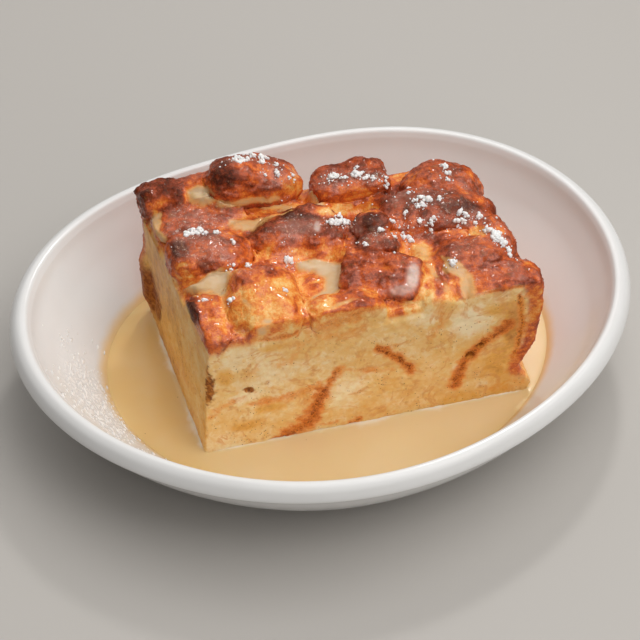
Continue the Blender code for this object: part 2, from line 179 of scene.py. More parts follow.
# Clumps that stand out one by one: x, y, radius.
CLEAR_CLUMPS = (
    (48.2, -9.5, 0.9), (48.6, -11.2, 1.3), (50, -12.6, 1.1), (49.2, -14, 1.4), (50.6, -15.6, 1.2),
    (51.6, -17.4, 1.2), (52.2, -19.4, 1), (52, -21, 0.8), (30.4, 15.2, 0.8), (33.9, 5.9, 1.3), (31.8, 7.4, 1),
    (25.6, 3.2, 0.9), (29.2, -1.1, 1), (33.4, -1.3, 1), (42.5, -0.4, 1.1), (41.2, -2.8, 1.2),
    (47.7, -2.9, 1.2), (12, 24.5, 1), (16.2, 24.1, 1), (18.4, 22.4, 1.1), (20.4, 21.4, 0.9), (8, 26, 0.9),
    (44.2, 20.9, 0.9), (44.2, 16.6, 0.9), (2, 3.8, 1.2), (4.4, 4.4, 1.2), (6.2, 4.2, 0.9), (20.8, 1.1, 0.9),
    (23.2, -3.4, 0.9), (-42.1, 11, 1.4), (-37, 9.4, 1), (-33.5, 9, 0.9), (-13.6, -3.1, 1.1),
    (-26.7, -3.1, 0.9), (-19.5, -21.7, 0.7), (-35.9, -20.4, 0.9), (-20.6, 31, 1.3), (-18, 31.4, 1.1),
    (-13.8, 30.6, 1), (-9.3, 29, 0.8), (-14.1, 25.6, 0.6), (-5, 25.6, 0.7), (9.6, -7.6, 0.8),
    (33.8, -21.4, 1), (-29.5, 4, 0.9), (17, 28, 0.7),
)
CLUMP_RADIUS = (0.75, 1.35)
CLUMP_SEED = 11

VOXEL = 0.56
PLAIN_SHARE = 0.68
# Between these heights the slab's sides go over into its top. Nothing on it reaches above the ceiling.
TOP_BAND = (48, 51)
CEILING_Z, GRAIN_CEILING_Z = 71.1, 70.9
# How the creases between pieces of bread fill with custard: rounds of evening out, and most in millimetres.
CREASE_ROUNDS, CREASE_MOST = 60, 1.8
CREASE_BAND = (48, 52)
RIDGE_ROUNDS, SOFT_ROUNDS = 10, 3
# Noise over the skin, by the size of its lumps in millimetres.
LOW_SIZE, MID_SIZE, FINE_SIZE, HOLE_SIZE, WRINKLE_SIZE, FOLD_SIZE = 5, 2.4, 1.1, 0.8, 2.3, 1.7
# Valleys narrower than this are filled to a little below their banks, but not the ones seen against the dish.
VALLEY_REACH, VALLEY_CELL, VALLEY_DEPTH, VALLEY_SHARE = 5.5, 0.8, 1.3, 0.85
VALLEY_MOST, NOWHERE = 6, -1e3
VALLEY_KEPT = {
    "gully": (25.5, -21, 4.5, 13, 12),
    "notch_back": (1.5, 29, 6, 8, 0),
    "notch_right": (29, 25, 8, 7, -20),
    "notch_left": (-35, 37, 6, 5, 0),
    "arch": (36, -29, 4, 6, 0),
}

CORE_BAKE, CORE_WEIGHT = 0.32, 0.25
END_BAKE, CORNER_BAKE, SOAKED_BAKE = 0.48, 0.4, 0.34
# Darker and paler places on the top, by where the camera sees them, in pixels:
# across, down, half width, half height, turn, brownness, strength.
SPOTS = {
    "corner_tip": (141.5, 196.8, 8.6, 9.3, 0, 0.66, 0.8),
    "corner_dark": (167.5, 187.5, 13, 11.3, 0, 0.84, 0.85),
    "corner_edge": (179, 192.4, 7.4, 11.9, 0, 0.8, 0.7),
    "corner_orange": (159.7, 204, 14.2, 7.3, -12, 0.42, 0.9),
    "neck": (196.7, 180.8, 12.4, 7.3, 0, 0.46, 0.8),
    "pool_rim": (187.5, 195.2, 5.3, 9.9, 0, 0.26, 0.8),
    "pillow_back_dark": (224.8, 177.5, 16.7, 15.2, -30, 0.86, 0.85),
    "pillow_back_crest": (254.1, 158.2, 28.4, 5.3, 8, 0.72, 0.8),
    "pillow_back_middle": (263.4, 174.8, 21.6, 10.6, 10, 0.44, 0.85),
    "pillow_back_gold": (294.9, 182.5, 14.8, 18.5, 30, 0.27, 0.85),
    "pillow_back_line": (244.1, 187.5, 24.7, 4.6, 8, 0.74, 0.8),
    "pillow_back_edge": (264, 195.7, 49.4, 6.6, 10, 0.5, 0.9),
    "flat_ridge": (229.2, 205.1, 21.6, 7.3, -6, 0.62, 0.85),
    "flat_dark": (170.8, 208.6, 14.2, 7, -12, 0.8, 0.85),
    "flat_middle": (199.5, 221.1, 25.3, 7.9, -6, 0.64, 0.85),
    "flat_red": (163.6, 231.6, 7.4, 8.6, 0, 0.52, 0.9),
    "flat_pale": (155.9, 222.2, 4.9, 13.2, 0, 0.12, 0.7),
    "fill_gold": (237.5, 225, 19.8, 9.9, -14, 0.32, 0.9),
    "fill_right": (266.2, 215.6, 19.8, 5.3, -12, 0.16, 0.8),
    "lump_pit": (180.2, 249.2, 8.6, 11.3, -30, 0.97, 0.9),
    "lump_crest": (205, 237.1, 20.4, 6, 6, 0.8, 0.85),
    "lump_middle": (223.2, 253.1, 30.9, 15.9, 14, 0.5, 0.85),
    "lump_side": (185.1, 275.2, 16.7, 18.5, 52, 0.4, 0.8),
    "lump_right": (258.5, 257, 11.1, 9.9, 0, 0.36, 0.85),
    "pillow_crest": (298.2, 214.2, 23.5, 5.7, 4, 0.97, 0.9),
    "pillow_left": (260, 226, 21.8, 11.9, -20, 0.78, 0.85),
    "pillow_film": (298.2, 229.2, 21, 12.3, 0, 0.88, 0.85),
    "pillow_right": (332.4, 222.2, 17.3, 13.2, 10, 0.8, 0.85),
    "pillow_lip": (297.1, 239.3, 54.4, 6, 4, 0.46, 0.85),
    "pillow_front": (286, 252.4, 32.1, 9.9, 6, 0.3, 0.9),
    "pillow_front_orange": (325.8, 248.7, 12.4, 10.6, 0, 0.4, 0.85),
    "golden_ridge": (265.6, 269.6, 15.4, 9.3, 20, 0.64, 0.9),
    "golden_red": (250, 277, 24, 11, -26, 0.5, 0.85),
    "golden_corner": (287.7, 268.5, 9.3, 10.6, 0, 0.44, 0.8),
    "golden_left": (224.3, 308, 12, 20.5, 0, 0.28, 0.85),
    "golden_middle": (268.9, 307.1, 28.6, 30.4, 0, 0.24, 0.9),
    "golden_stain": (273.9, 317.1, 21, 5.3, 6, 0.34, 0.7),
    "golden_seam": (298, 300, 5, 24, -4, 0.44, 0.8),
    "corner_front_dark": (191.5, 313, 8, 17.5, 0, 0.9, 0.9),
    "corner_front_orange": (208, 303, 13, 11.3, 0, 0.38, 0.85),
    "corner_front_low": (214, 328, 17, 12, 0, 0.32, 0.9),
    "pool_side": (302, 292.8, 6.8, 18.5, 0, 0.18, 0.8),
    "island": (314.7, 283.4, 11.1, 9.9, 0, 0.42, 0.95),
    "flake": (325.8, 314, 24.7, 9, -4, 0.24, 0.9),
    "flake_line": (345, 309, 24, 2.2, -10, 0.44, 0.8),
    "pillow_rim": (322, 209.5, 26, 5, 4, 0.62, 0.9),
    "block_back_top": (351.3, 170.9, 39.4, 14.5, 0, 0.68, 0.8),
    "block_back_face": (351.9, 194, 40, 10, 0, 0.4, 0.95),
    "block_back_foot": (345, 210.4, 32.3, 5.9, 0, 0.14, 0.9),
    "dome_top": (445.3, 166.9, 15.5, 6.9, 10, 0.72, 0.8),
    "dome_left": (418.8, 176.1, 16.8, 12.5, -30, 0.5, 0.85),
    "dome_right": (475.3, 193.4, 18.1, 24.9, 30, 0.52, 0.85),
    "loaf_left": (391.7, 195.1, 20, 13.1, -20, 0.74, 0.85),
    "loaf_middle": (425.7, 195.1, 19.4, 11.8, 0, 0.68, 0.7),
    "loaf_dark": (460.3, 205.5, 24.5, 10.4, 10, 0.86, 0.85),
    "loaf_front": (408.4, 228, 23.2, 13.8, 14, 0.56, 0.9),
    "loaf_front_low": (443, 238.4, 20.7, 8.3, 0, 0.62, 0.85),
    "loaf_right": (476.4, 221.1, 19.4, 8.3, 0, 0.66, 0.8),
    "loaf_gold": (478.7, 232, 11.6, 7.6, 0, 0.24, 0.95),
    "wedge": (498.3, 236.1, 10.3, 23.5, 20, 0.5, 0.9),
    "wedge_low": (513.3, 258, 9, 16.6, 20, 0.56, 0.9),
    "hump_top": (470.1, 249.3, 35.5, 13.1, 0, 0.6, 0.85),
    "hump_orange": (487.9, 273, 14.2, 15.2, 0, 0.48, 0.8),
    "leg": (442, 273, 9.7, 24.9, 4, 0.62, 0.9),
    "ridge_dark": (516.2, 274.7, 18.7, 11.8, 14, 0.7, 0.9),
    "ridge_orange": (506.4, 288.6, 42.6, 4.7, 2, 0.46, 0.9),
    "block_body": (387.6, 271.2, 38.7, 25.6, 8, 0.57, 0.85),
    "block_dark": (361.7, 259.7, 13.6, 13.1, -20, 0.68, 0.8),
    "block_orange": (347.3, 293.1, 16.8, 14.5, -30, 0.58, 0.85),
    "block_foot": (364, 301, 26, 6, -2, 0.62, 0.9),
    "under_block": (412, 308, 13, 9, -6, 0.08, 0.9),
    "knot_dark": (372.7, 226.3, 15.5, 13.1, -10, 0.88, 0.85),
    "knot_low": (373.8, 243, 29.7, 8.3, 0, 0.78, 0.85),
    "knot_orange": (393.4, 230.3, 7.7, 11.1, 40, 0.38, 0.9),
    "pillow_tip": (347.9, 225.7, 14.8, 12.8, 0, 0.72, 0.8),
    "pillow_tip_orange": (342.7, 252.2, 11.6, 9.7, 0, 0.42, 0.85),
    "gully": (427.5, 292.7, 8.1, 20.4, 4, 0.08, 0.95),
    "gully_top": (428, 266.5, 8, 7, 0, 0.4, 0.9),
    "gully_back": (421.1, 252, 11.5, 8.3, 20, 0.14, 0.9),
    "gully_spot": (428, 285.4, 4.2, 4.3, -20, 0.42, 0.9),
}
# Where a whitish film of melted sugar lies on the crust: middle, half sizes, strength.
FILMS = {
    "pillow_middle": ((-10, 5, 62.5), (9.5, 5.5, 4), 0.6),
    "loaf_back": ((26, 10, 61.5), (6.5, 5, 4), 0.65),
    "loaf_top": ((38, 3.5, 61.5), (10, 5, 4), 0.45),
    "block_back": ((13, 24.5, 61.5), (11, 4, 3), 0.55),
    "lump_top": ((-38.5, 6, 62), (10, 10, 5), 0.8),
    "flat": ((-37, 20.5, 58.5), (12, 7.5, 5), 0.85),
    "golden_ridge": ((-28, -11, 62.5), (8, 4, 4), 0.4),
    "knot": ((13, -6, 62), (7, 4, 5), 0.6),
    "knot_left": ((8.4, 2.2, 60), (2.4, 3, 3.5), 0.95),
    "hump": ((42, -17, 61.5), (9, 6, 4), 0.4),
    "arch": ((36.5, -26, 58.2), (3.5, 5.5, 3.5), 0.6),
    "ridge": ((51.5, -26.5, 59.4), (4, 2.6, 3), 0.6),
    "pillow_back": ((-6, 28.5, 65), (8, 5, 4), 0.4),
    "dome": ((46, 12, 60), (5.5, 8, 5), 0.4),
    "block_back_right": ((21.5, 23, 60), (4, 3, 3), 0.55),
    "crust_foot": ((-36, -31.5, 57), (9, 2.5, 2.5), 0.5),
}
# Where the film is smooth and milky, partly a painted highlight, as the camera sees it, in pixels:
# across, down, half width, half height, turn, strength.
MILK_AND_SHEEN_SPOTS = {
    "block_right": (413, 277, 8.6, 19, 8, 0.86),
    "block_low": (402, 290, 19, 8, -6, 0.68),
    "block_haze": (402, 279, 19, 20, 0, 0.14),
    "pillow_middle": (298.2, 228.3, 21, 9.4, 0, 0.42),
    "pillow_smear": (316.9, 226.6, 5.5, 7.7, 0, 0.8),
    "knot": (358.2, 229.2, 6.3, 8.1, 0, 0.55),
    "loaf_left": (395.1, 196.9, 13.3, 8.1, -20, 0.34),
    "wedge_side": (478.7, 214.7, 10.4, 6.3, 20, 0.34),
    "ridge_end": (517.9, 275.9, 10.4, 5.2, 14, 0.4),
    "lump": (221, 252, 23.2, 9.9, 14, 0.22),
    "flat": (195.6, 216.7, 17.6, 5.5, -6, 0.26),
}
# Pools of cream glaze: how softly they end, in pixels, and the share of their depth that is filled.
POOL_EDGE, POOL_FILL = 2.8, 0.85
# Where they stand: outline as the camera sees it, in pixels, then height and strength.
POOLS = {
    "behind_flat": (((188, 192), (196, 185), (210, 188), (217, 198), (210, 205), (193, 205)), 0.9, 1),
    "under_pillow": (((220, 196), (245, 198), (279, 203), (305, 210), (293, 212), (266, 209), (251, 206),
        (244, 200)), 0.3, 0.62),
    "beside_block_back": (((310, 199), (319, 197), (324, 206), (318, 211), (311, 209)), 0.6, 0.85),
    "fill_left": (((229, 228), (240, 221), (257, 221), (279, 214), (284, 216), (260, 227),
        (244, 232)), 0.2, 0.6),
    "flat_edge": (((150, 218), (156, 213), (159, 220), (160, 231), (167, 242), (163, 243),
        (154, 231)), 0.2, 0.65),
    "left_channel": (((185, 292), (199, 283), (213, 273), (223, 268), (230, 271), (227, 284), (229, 298),
        (210, 293), (193, 295)), 0.5, 1),
    "middle_pool": (((296, 263), (315, 260), (330, 264), (344, 265), (347, 283), (336, 294), (337, 292),
        (321, 301), (309, 304), (313, 297), (325, 291), (326, 277), (313, 273), (299, 272)), 0.5, 1),
    "gully_back": (((410, 246), (427, 246), (431, 260), (428, 276), (423, 260)), 0.3, 0.45),
}
# Thin runs of glaze over the bread: points (x, y, z), half width, strength.
RUNS = {
    "gully_edge": (((22.6, -14, 60), (24, -21, 57.5), (29, -28, 57), (27.6, -33, 54)), 1.5, 0.75),
    "flat_side": (((-48.6, 26, 57.5), (-50.6, 21, 56), (-49.6, 14, 55)), 1.5, 0.6),
    "under_pillow": (((-29, 23.6, 61), (-20, 21.6, 61), (-8, 20.6, 60.2), (0, 18, 59.4)), 1.2, 0.7),
    "fill_left": (((-27, 17.4, 57.4), (-17, 14.6, 58.4), (-9, 13.5, 60.6)), 1.2, 0.6),
    "block_foot": (((-7.6, -31.6, 61.4), (-1, -29.5, 61.6), (3, -31.4, 60.4)), 0.6, 0.6),
    "front_spot": (((-29.6, -32.4, 58.2), (-27.2, -31.4, 59.8)), 1.5, 1),
    "golden_crack": (((-32, -31, 60), (-31, -26, 62), (-32.5, -22, 62.4)), 0.9, 0.45),
    "golden_vein": (((-27, -21, 63.4), (-26, -28, 62.4)), 0.5, 0.35),
    "dome_a": (((40.5, 21, 62.4), (46, 14, 61.6), (48.5, 9, 59.6)), 0.45, 0.34),
    "dome_b": (((44, 21.5, 61), (49, 14, 59.6), (51.5, 9, 57)), 0.45, 0.34),
    "arch": (((32.6, -21.5, 59.6), (36, -26, 58.8), (35.6, -32, 56.4)), 2.2, 0.62),
    "hump_edge": (((29.8, -15, 60.4), (32, -20, 60.8)), 0.7, 0.5),
    "leg_side": (((28.2, -29, 57), (27, -24, 58), (26.8, -19, 58.4)), 1, 0.6),
}
# How high the front cut reaches before the crust begins: x, z.
CRUST_LINE = ((-46.4, 52.6), (-28.9, 55.6), (-20, 55.6), (-14, 56), (-2.4, 59.4), (15.7, 58.6), (27.9, 56.4),
              (37.8, 57.4), (58.5, 56.6))
# Brown layers where the cut meets a crust inside the bread, on the front face:
# points (x, z), half width, depth of colour, how dark the middle is.
STREAKS = {
    "wide_swirl_top": (((-5.7, 35.9), (-8.1, 31.3), (-10.5, 27.4)), 1.9, 0.85, 0.6),
    "wide_swirl": (((-10.5, 27.4), (-12.5, 23.4), (-14.3, 16.4)), 2.8, 1, 1),
    "wide_swirl_foot": (((-14.3, 16.4), (-17.8, 12.6), (-22.9, 10.4)), 3.4, 0.95, 0.7),
    "wide_swirl_left": (((-22, 27.2), (-16, 29), (-11, 30.5)), 2, 0.55, 0.1),
    "thin_swirl": (((6.9, 41.7), (11.4, 37.7), (15.6, 33.3), (17.8, 28.7)), 1.8, 0.95, 0.9),
    "thin_swirl_up": (((8.1, 43.6), (12.1, 41.4)), 0.9, 0.4, 0.2),
    "thin_swirl_glow": (((11, 38.5), (15.5, 36), (18.4, 31)), 2.4, 0.4, 0),
    "right_swirl": (((48.8, 42.2), (44.7, 37.2), (40.4, 34.4), (36.9, 30.7), (34.3, 25.9),
        (32.2, 18.5)), 2.3, 1, 0.8),
    "rind_line": (((52, 53), (53.4, 42), (53, 32), (51.4, 26)), 1.5, 0.8, 0.9),
    "left_band": (((-46.6, 25.7), (-42.6, 29.1), (-37, 30.9)), 1.5, 0.5, 0.1),
    "middle_band": (((-33.1, 28.1), (-25.2, 27.6), (-16.5, 29.7), (-11.7, 31.7)), 1.5, 0.62, 0),
    "long_seam": (((-6.6, 36), (3, 33.6), (7, 31.8), (12, 31.5)), 0.8, 0.45, 0.1),
    "seam_spot": (((3, 32.8), (6.4, 32)), 1, 0.55, 0.2),
    "foot_seam": (((-11.3, 12.6), (-6, 12)), 0.7, 0.6, 0.3),
    "foot_spot": (((-3, 9.8), (1.6, 11.2)), 1.3, 0.75, 0.6),
    "foot_spot_right": (((8.5, 9.8), (12.5, 10.2)), 1.2, 0.45, 0.1),
    "crust_foot": (((-46.4, 52.6), (-41.6, 56), (-34.7, 56.4), (-24.8, 54.6), (-19.4, 55)), 1.1, 0.8, 0.3),
    "crust_foot_right": (((-27, 55.6), (-18, 55.4), (-12, 53)), 1.2, 0.35, 0),
    "pink_patch": (((-24, 43), (-20.7, 43.6), (-17.9, 49.4), (-14, 51)), 1.7, 0.42, 0),
    "flake_body": (((-13, 55.4), (-6, 56.2), (-1, 57.4)), 3.4, 0.6, 0.15),
    "flake_foot": (((-14, 52.4), (-5, 50.6), (1, 52)), 2.6, 0.46, 0),
    "under_block": (((-2.4, 58.1), (3.8, 59.7), (10.8, 59.5)), 1, 0.7, 0.4),
    "gully_line": (((27, 55), (27, 48), (24.4, 42)), 2, 0.42, 0),
    "ridge_line": (((33, 56), (38, 57.2), (46, 57.2), (54, 57.2)), 0.9, 0.8, 0.5),
    "toe": (((47, 14), (54, 12)), 3, 0.35, 0),
}
# A dark baked seam low on the left cut, as the camera sees it, in pixels.
LEFT_MARK = ((140, 256), (146, 259), (153, 277), (156, 290), (161, 308), (159, 321), (152, 309), (146, 300),
             (142, 287))
# How far the crust bulges out beside it: middle, half sizes, millimetres.
CORNER_SWELL = ((-53, 33.5, 25), (5, 6, 13), 2.5)
# Paler and yellower bread in the cut face, and painted shade by its right end: x, z, half x, half z, turn,
# tone.
# Below 0 is paler, up to 1 yellower, and towards 2 the browner see-through custard, partly painted shade.
PATCHES = {
    "white_bread": (36.5, 45.4, 7, 6.2, 0, -1.1),
    "upper_left": (-33, 47, 9, 5.5, 0, -0.6),
    "middle_left": (-27, 38.5, 12, 4.5, 6, -0.65),
    "hole_side": (-36, 31.5, 5, 2.2, 0, -0.8),
    "low_middle": (-2, 24, 7.5, 6.5, 0, -0.6),
    "low_left": (-42, 14, 7, 6, 0, -0.6),
    "gold_upper": (-41.5, 42, 2.6, 3.4, 0, 0.9),
    "gold_low": (-27.5, 24.6, 5, 2.2, 0, 1.2),
    "gold_corner": (-35.5, 18.6, 5, 2.2, 4, 0.9),
    "gold_line": (-25, 51, 6, 1.6, 0, 0.7),
    "pale_top": (22, 52, 5.5, 4.6, 0, -0.7),
    "crumb": (47, 53.6, 7.5, 2.6, 0, -0.4),
    "end_shade": (50.5, 41, 3.4, 12, 0, 1.7),
    "end_shade_top": (47, 49, 8, 2.4, 0, 1.1),
    "end_shade_low": (47.5, 24, 6, 9, 0, 1),
    "foot_shade": (40, 12, 16, 4, 0, 0.8),
    "low_right": (24, 19, 12, 6, 6, 0.3),
    "grey_smear": (32.6, 25.4, 1.6, 2.6, 20, -0.9),
}


# Shared geometry

def along(table, at):
    """Reads a value from ((position, value), ...) by straight lines."""
    if at <= table[0][0]:
        return table[0][1]
    for (a, low), (b, high) in zip(table, table[1:]):
        if at <= b:
            return low + (high - low) * (at - a) / (b - a)
    return table[-1][1]


def ease(low, high, value):
    """Goes smoothly from 0 at low to 1 at high."""
    share = np.clip((value - low) / (high - low), 0, 1)
    return share * share * (3 - 2 * share)


def rim_radius(angle):
    oval = RIM_OVAL * math.cos(2 * (angle - RIM_OVAL_TURN))
    egg = RIM_EGG * math.cos(3 * (angle - RIM_EGG_TURN))
    square = RIM_SQUARE * math.cos(4 * (angle - RIM_SQUARE_TURN))
    return RIM_MEAN + oval + egg + square


def centre_of_rim():
    angles = [2 * math.pi * k / SOURCE_SIDES for k in range(SOURCE_SIDES)]
    xs = [rim_radius(a) * math.cos(a) for a in angles]
    ys = [rim_radius(a) * math.sin(a) for a in angles]
    return Vector(((min(xs) + max(xs)) / 2, (min(ys) + max(ys)) / 2))


MIDDLE = centre_of_rim()


def world(x, y, z):
    """A place in the drawing's millimetres, as metres in the frame."""
    return Vector(((x - MIDDLE.x) * MM, (y - MIDDLE.y) * MM, z * MM))


def new_piece(name, bm):
    mesh = bpy.data.meshes.new(name)
    bm.to_mesh(mesh)
    bm.free()
    mesh.shade_smooth()
    piece = bpy.data.objects.new(name, mesh)
    bpy.context.scene.collection.objects.link(piece)
    return piece


def loft(name, rings, ends=True):
    """A skin through rings of points, its two ends filled or else joined to each other."""
    bm = bmesh.new()
    loops = [[bm.verts.new(world(*point)) for point in ring] for ring in rings]
    pairs = list(zip(loops, loops[1:])) + ([] if ends else [(loops[-1], loops[0])])
    for lower, upper in pairs:
        for k in range(len(lower)):
            after = (k + 1) % len(lower)
            bm.faces.new((lower[k], lower[after], upper[after], upper[k]))
    if ends:
        bm.faces.new(loops[0])
        bm.faces.new(loops[-1])
    bmesh.ops.recalc_face_normals(bm, faces=bm.faces)
    return new_piece(name, bm)


def read_points(mesh):
    """The mesh's points in the drawing's millimetres, and their normals."""
    count = len(mesh.vertices)
    points, normals = np.empty(count * 3), np.empty(count * 3)
    mesh.vertices.foreach_get("co", points)
    mesh.vertices.foreach_get("normal", normals)
    points = points.reshape(-1, 3) / MM + np.array((MIDDLE.x, MIDDLE.y, 0))
    return points, normals.reshape(-1, 3)


def write_points(mesh, points):
    moved = (points - np.array((MIDDLE.x, MIDDLE.y, 0))) * MM
    mesh.vertices.foreach_set("co", moved.ravel())
    mesh.update()


def store(mesh, name, values):
    layer = mesh.attributes.new(name, "FLOAT", "POINT")
    layer.data.foreach_set("value", np.asarray(values, dtype=np.float32))


def speckle(points, size, seed, octaves=3):
    """Smooth noise of about -1 to 1 at each point."""
    shift = Vector((seed * 17.3, seed * 5.9, seed * 11.7))
    return np.array([noise.fractal(Vector(p) / size + shift, 0.9, 2, octaves) for p in points])


def creases(points, size, seed):
    """Noise that is 1 along thin wandering lines and falls to 0 beside them."""
    shift = Vector((seed * 3.7, seed * 13.1, seed * 7.3))
    return np.array([1 - min(1, 2.2 * abs(noise.noise(Vector(p) / size + shift))) for p in points])


# Camera, lights and floor

def aim_camera():
    back, right = Vector(CAMERA_BACK), Vector(CAMERA_RIGHT)
    data = bpy.data.cameras.new("camera")
    data.lens, data.sensor_width, data.clip_start = CAMERA_LENS, CAMERA_SENSOR, CAMERA_CLIP_START
    camera = bpy.data.objects.new("camera", data)
    bpy.context.scene.collection.objects.link(camera)
    place = Matrix((right, back.cross(right), back)).transposed().to_4x4()
    place.translation = world(*CAMERA_AIM) + back * CAMERA_DISTANCE * MM
    camera.matrix_world = place
    bpy.context.scene.camera = camera


# Three large soft lights and a small one for the glints: bearing and height in degrees, power in watts, size.
LIGHTS = {
    "window": (-20, 68, 11.6, 1.3),
    "front_card": (-80, 41, 5.8, 1.3),
    "back_card": (100, 40, 4, 1.3),
    "glint": (62, 52, 2.4, 0.12),
}
LIGHT_DISTANCE, LIGHT_AIM, LIGHT_COLOUR = 1.2, Vector((0, 0, 0.03)), (1, 0.99, 0.975)
ROOM_STRENGTH, ROOM_COLOUR = 0.08, (1, 0.985, 0.97, 1)
FLOOR_SIZE, FLOOR_COLOUR, FLOOR_ROUGHNESS = 1.5, (0.47, 0.445, 0.415), 0.55


def light_scene():
    for name, (bearing, height, power, size) in LIGHTS.items():
        bearing, height = math.radians(bearing), math.radians(height)
        level = math.cos(height)
        away = Vector((math.cos(bearing) * level, math.sin(bearing) * level, math.sin(height)))
        data = bpy.data.lights.new(name, "AREA")
        data.shape, data.size, data.energy, data.color = "SQUARE", size, power, LIGHT_COLOUR
        lamp = bpy.data.objects.new(name, data)
        bpy.context.scene.collection.objects.link(lamp)
        lamp.location = LIGHT_AIM + away * LIGHT_DISTANCE
        lamp.rotation_euler = (-away).to_track_quat("-Z", "Y").to_euler()
    room = bpy.data.worlds.new("studio")
    bpy.context.scene.world = room
    room.use_nodes = True
    background = room.node_tree.nodes["Background"]
    background.inputs["Color"].default_value = ROOM_COLOUR
    background.inputs["Strength"].default_value = ROOM_STRENGTH
    bpy.context.scene.view_settings.view_transform = "Standard"


def make_floor():
    bm = bmesh.new()
    bmesh.ops.create_grid(bm, x_segments=1, y_segments=1, size=FLOOR_SIZE)
    floor = new_piece("floor", bm)
    floor.data.materials.append(Nodes("floor").set(Base_Color=FLOOR_COLOUR, Roughness=FLOOR_ROUGHNESS))


class Nodes:
    """Short ways to add and join shader nodes."""

    def __init__(self, name):
        self.material = bpy.data.materials.new(name)
        self.material.use_nodes = True
        self.tree = self.material.node_tree
        self.shader = self.tree.nodes["Principled BSDF"]
        self.place = self.node("ShaderNodeTexCoord", "Object")

    def node(self, kind, output, inputs=None, **values):
        """Adds a node, fills its inputs with values or other nodes' outputs, and gives one output of it."""
        node = self.tree.nodes.new(kind)
        for key, value in values.items():
            setattr(node, key, value)
        for key, value in (inputs or {}).items():
            self.put(node.inputs[key], value)
        return node.outputs[output]

    def put(self, socket, value):
        if isinstance(value, bpy.types.NodeSocket):
            self.tree.links.new(value, socket)
        elif isinstance(value, tuple) and len(value) == 3 and socket.type == "RGBA":
            socket.default_value = (*value, 1)
        else:
            socket.default_value = value

    def attribute(self, name):
        return self.node("ShaderNodeAttribute", "Fac", attribute_name=name)

    def noise(self, size, detail=3, roughness=0.55, warp=0):
        """Noise whose features are about this many millimetres wide."""
        return self.node("ShaderNodeTexNoise", "Fac", {
            "Vector": self.place, "Scale": 1 / (size * MM),
            "Detail": detail, "Roughness": roughness, "Distortion": warp})

    def cells(self, size):
        return self.node("ShaderNodeTexVoronoi", "Distance", {"Vector": self.place, "Scale": 1 / (size * MM)})

    def math(self, operation, *values):
        return self.node("ShaderNodeMath", 0, dict(enumerate(values)), operation=operation)

    def times(self, a, b):
        return self.math("MULTIPLY", a, b)

    def span(self, value, low, high, to_low=0, to_high=1, smooth=True):
        """Goes from one value to another while its input goes from low to high."""
        return self.node("ShaderNodeMapRange", "Result", {
            "Value": value, "From Min": low, "From Max": high, "To Min": to_low, "To Max": to_high,
        }, interpolation_type="SMOOTHSTEP" if smooth else "LINEAR")

    def vary(self, value, texture, low, high, most):
        """Adds or takes away up to this much, by a texture."""
        return self.math("ADD", value, self.span(texture, low, high, -most, most, False))

    def mix(self, share, a, b):
        return self.node("ShaderNodeMix", 2, {"Factor": share, 6: a, 7: b}, data_type="RGBA")

    def tint(self, colour, other, share, strength):
        """Goes over to another colour by a share of this strength."""
        return self.mix(self.times(share, strength), colour, other)

    def blend(self, share, a, b):
        return self.node("ShaderNodeMix", 0, {0: share, 2: a, 3: b}, data_type="FLOAT")

    def ramp(self, value, stops):
        node = self.tree.nodes.new("ShaderNodeValToRGB")
        elements = node.color_ramp.elements
        while len(elements) < len(stops):
            elements.new(0.5)
        for element, (at, colour) in zip(elements, stops):
            element.position, element.color = at, (*colour, 1)
        self.put(node.inputs["Fac"], value)
        return node.outputs["Color"]

    def bump(self, height, strength, depth, **before):
        """Raises the shading by depth millimetres, over another bump if one is given as Normal."""
        return self.node("ShaderNodeBump", "Normal", {
            "Height": height, "Strength": strength, "Distance": depth * MM, **before})

    def set(self, **values):
        for key, value in values.items():
            self.put(self.shader.inputs[key.replace("_", " ")], value)
        return self.material


# Dish

def inside_drift(share):
    lip, floor = INSIDE[0][0], INSIDE[-1][0]
    return min(1, max(0, (lip - share) / (lip - floor)))


def smooth_profile(points, steps=4):
    """A smooth curve that runs through the points."""
    ends = [points[0]] + list(points) + [points[-1]]
    line = []
    for before, a, b, after in zip(ends, ends[1:], ends[2:], ends[3:]):
        for k in range(steps):
            t = k / steps
            line.append(tuple(
                0.5 * (2 * q + (r - p) * t + (2 * p - 5 * q + 4 * r - s) * t * t
                       + (3 * q - p - 3 * r + s) * t ** 3)
                for p, q, r, s in zip(before, a, b, after)))
    line.append(points[-1])
    return line


DISH_SIDES = 240
# Kept this far inside the solid's rim, whose straight sides lie within a true curve.
RIM_SPARE = 0.16


def dish_ring(share, z, drift=0, inset=0):
    ring = []
    for k in range(DISH_SIDES):
        angle = 2 * math.pi * k / DISH_SIDES
        radius = share * (rim_radius(angle) - RIM_SPARE) - inset
        ring.append((radius * math.cos(angle) + drift * FLOOR_DRIFT[0],
                     radius * math.sin(angle) + drift * FLOOR_DRIFT[1], z))
    return ring


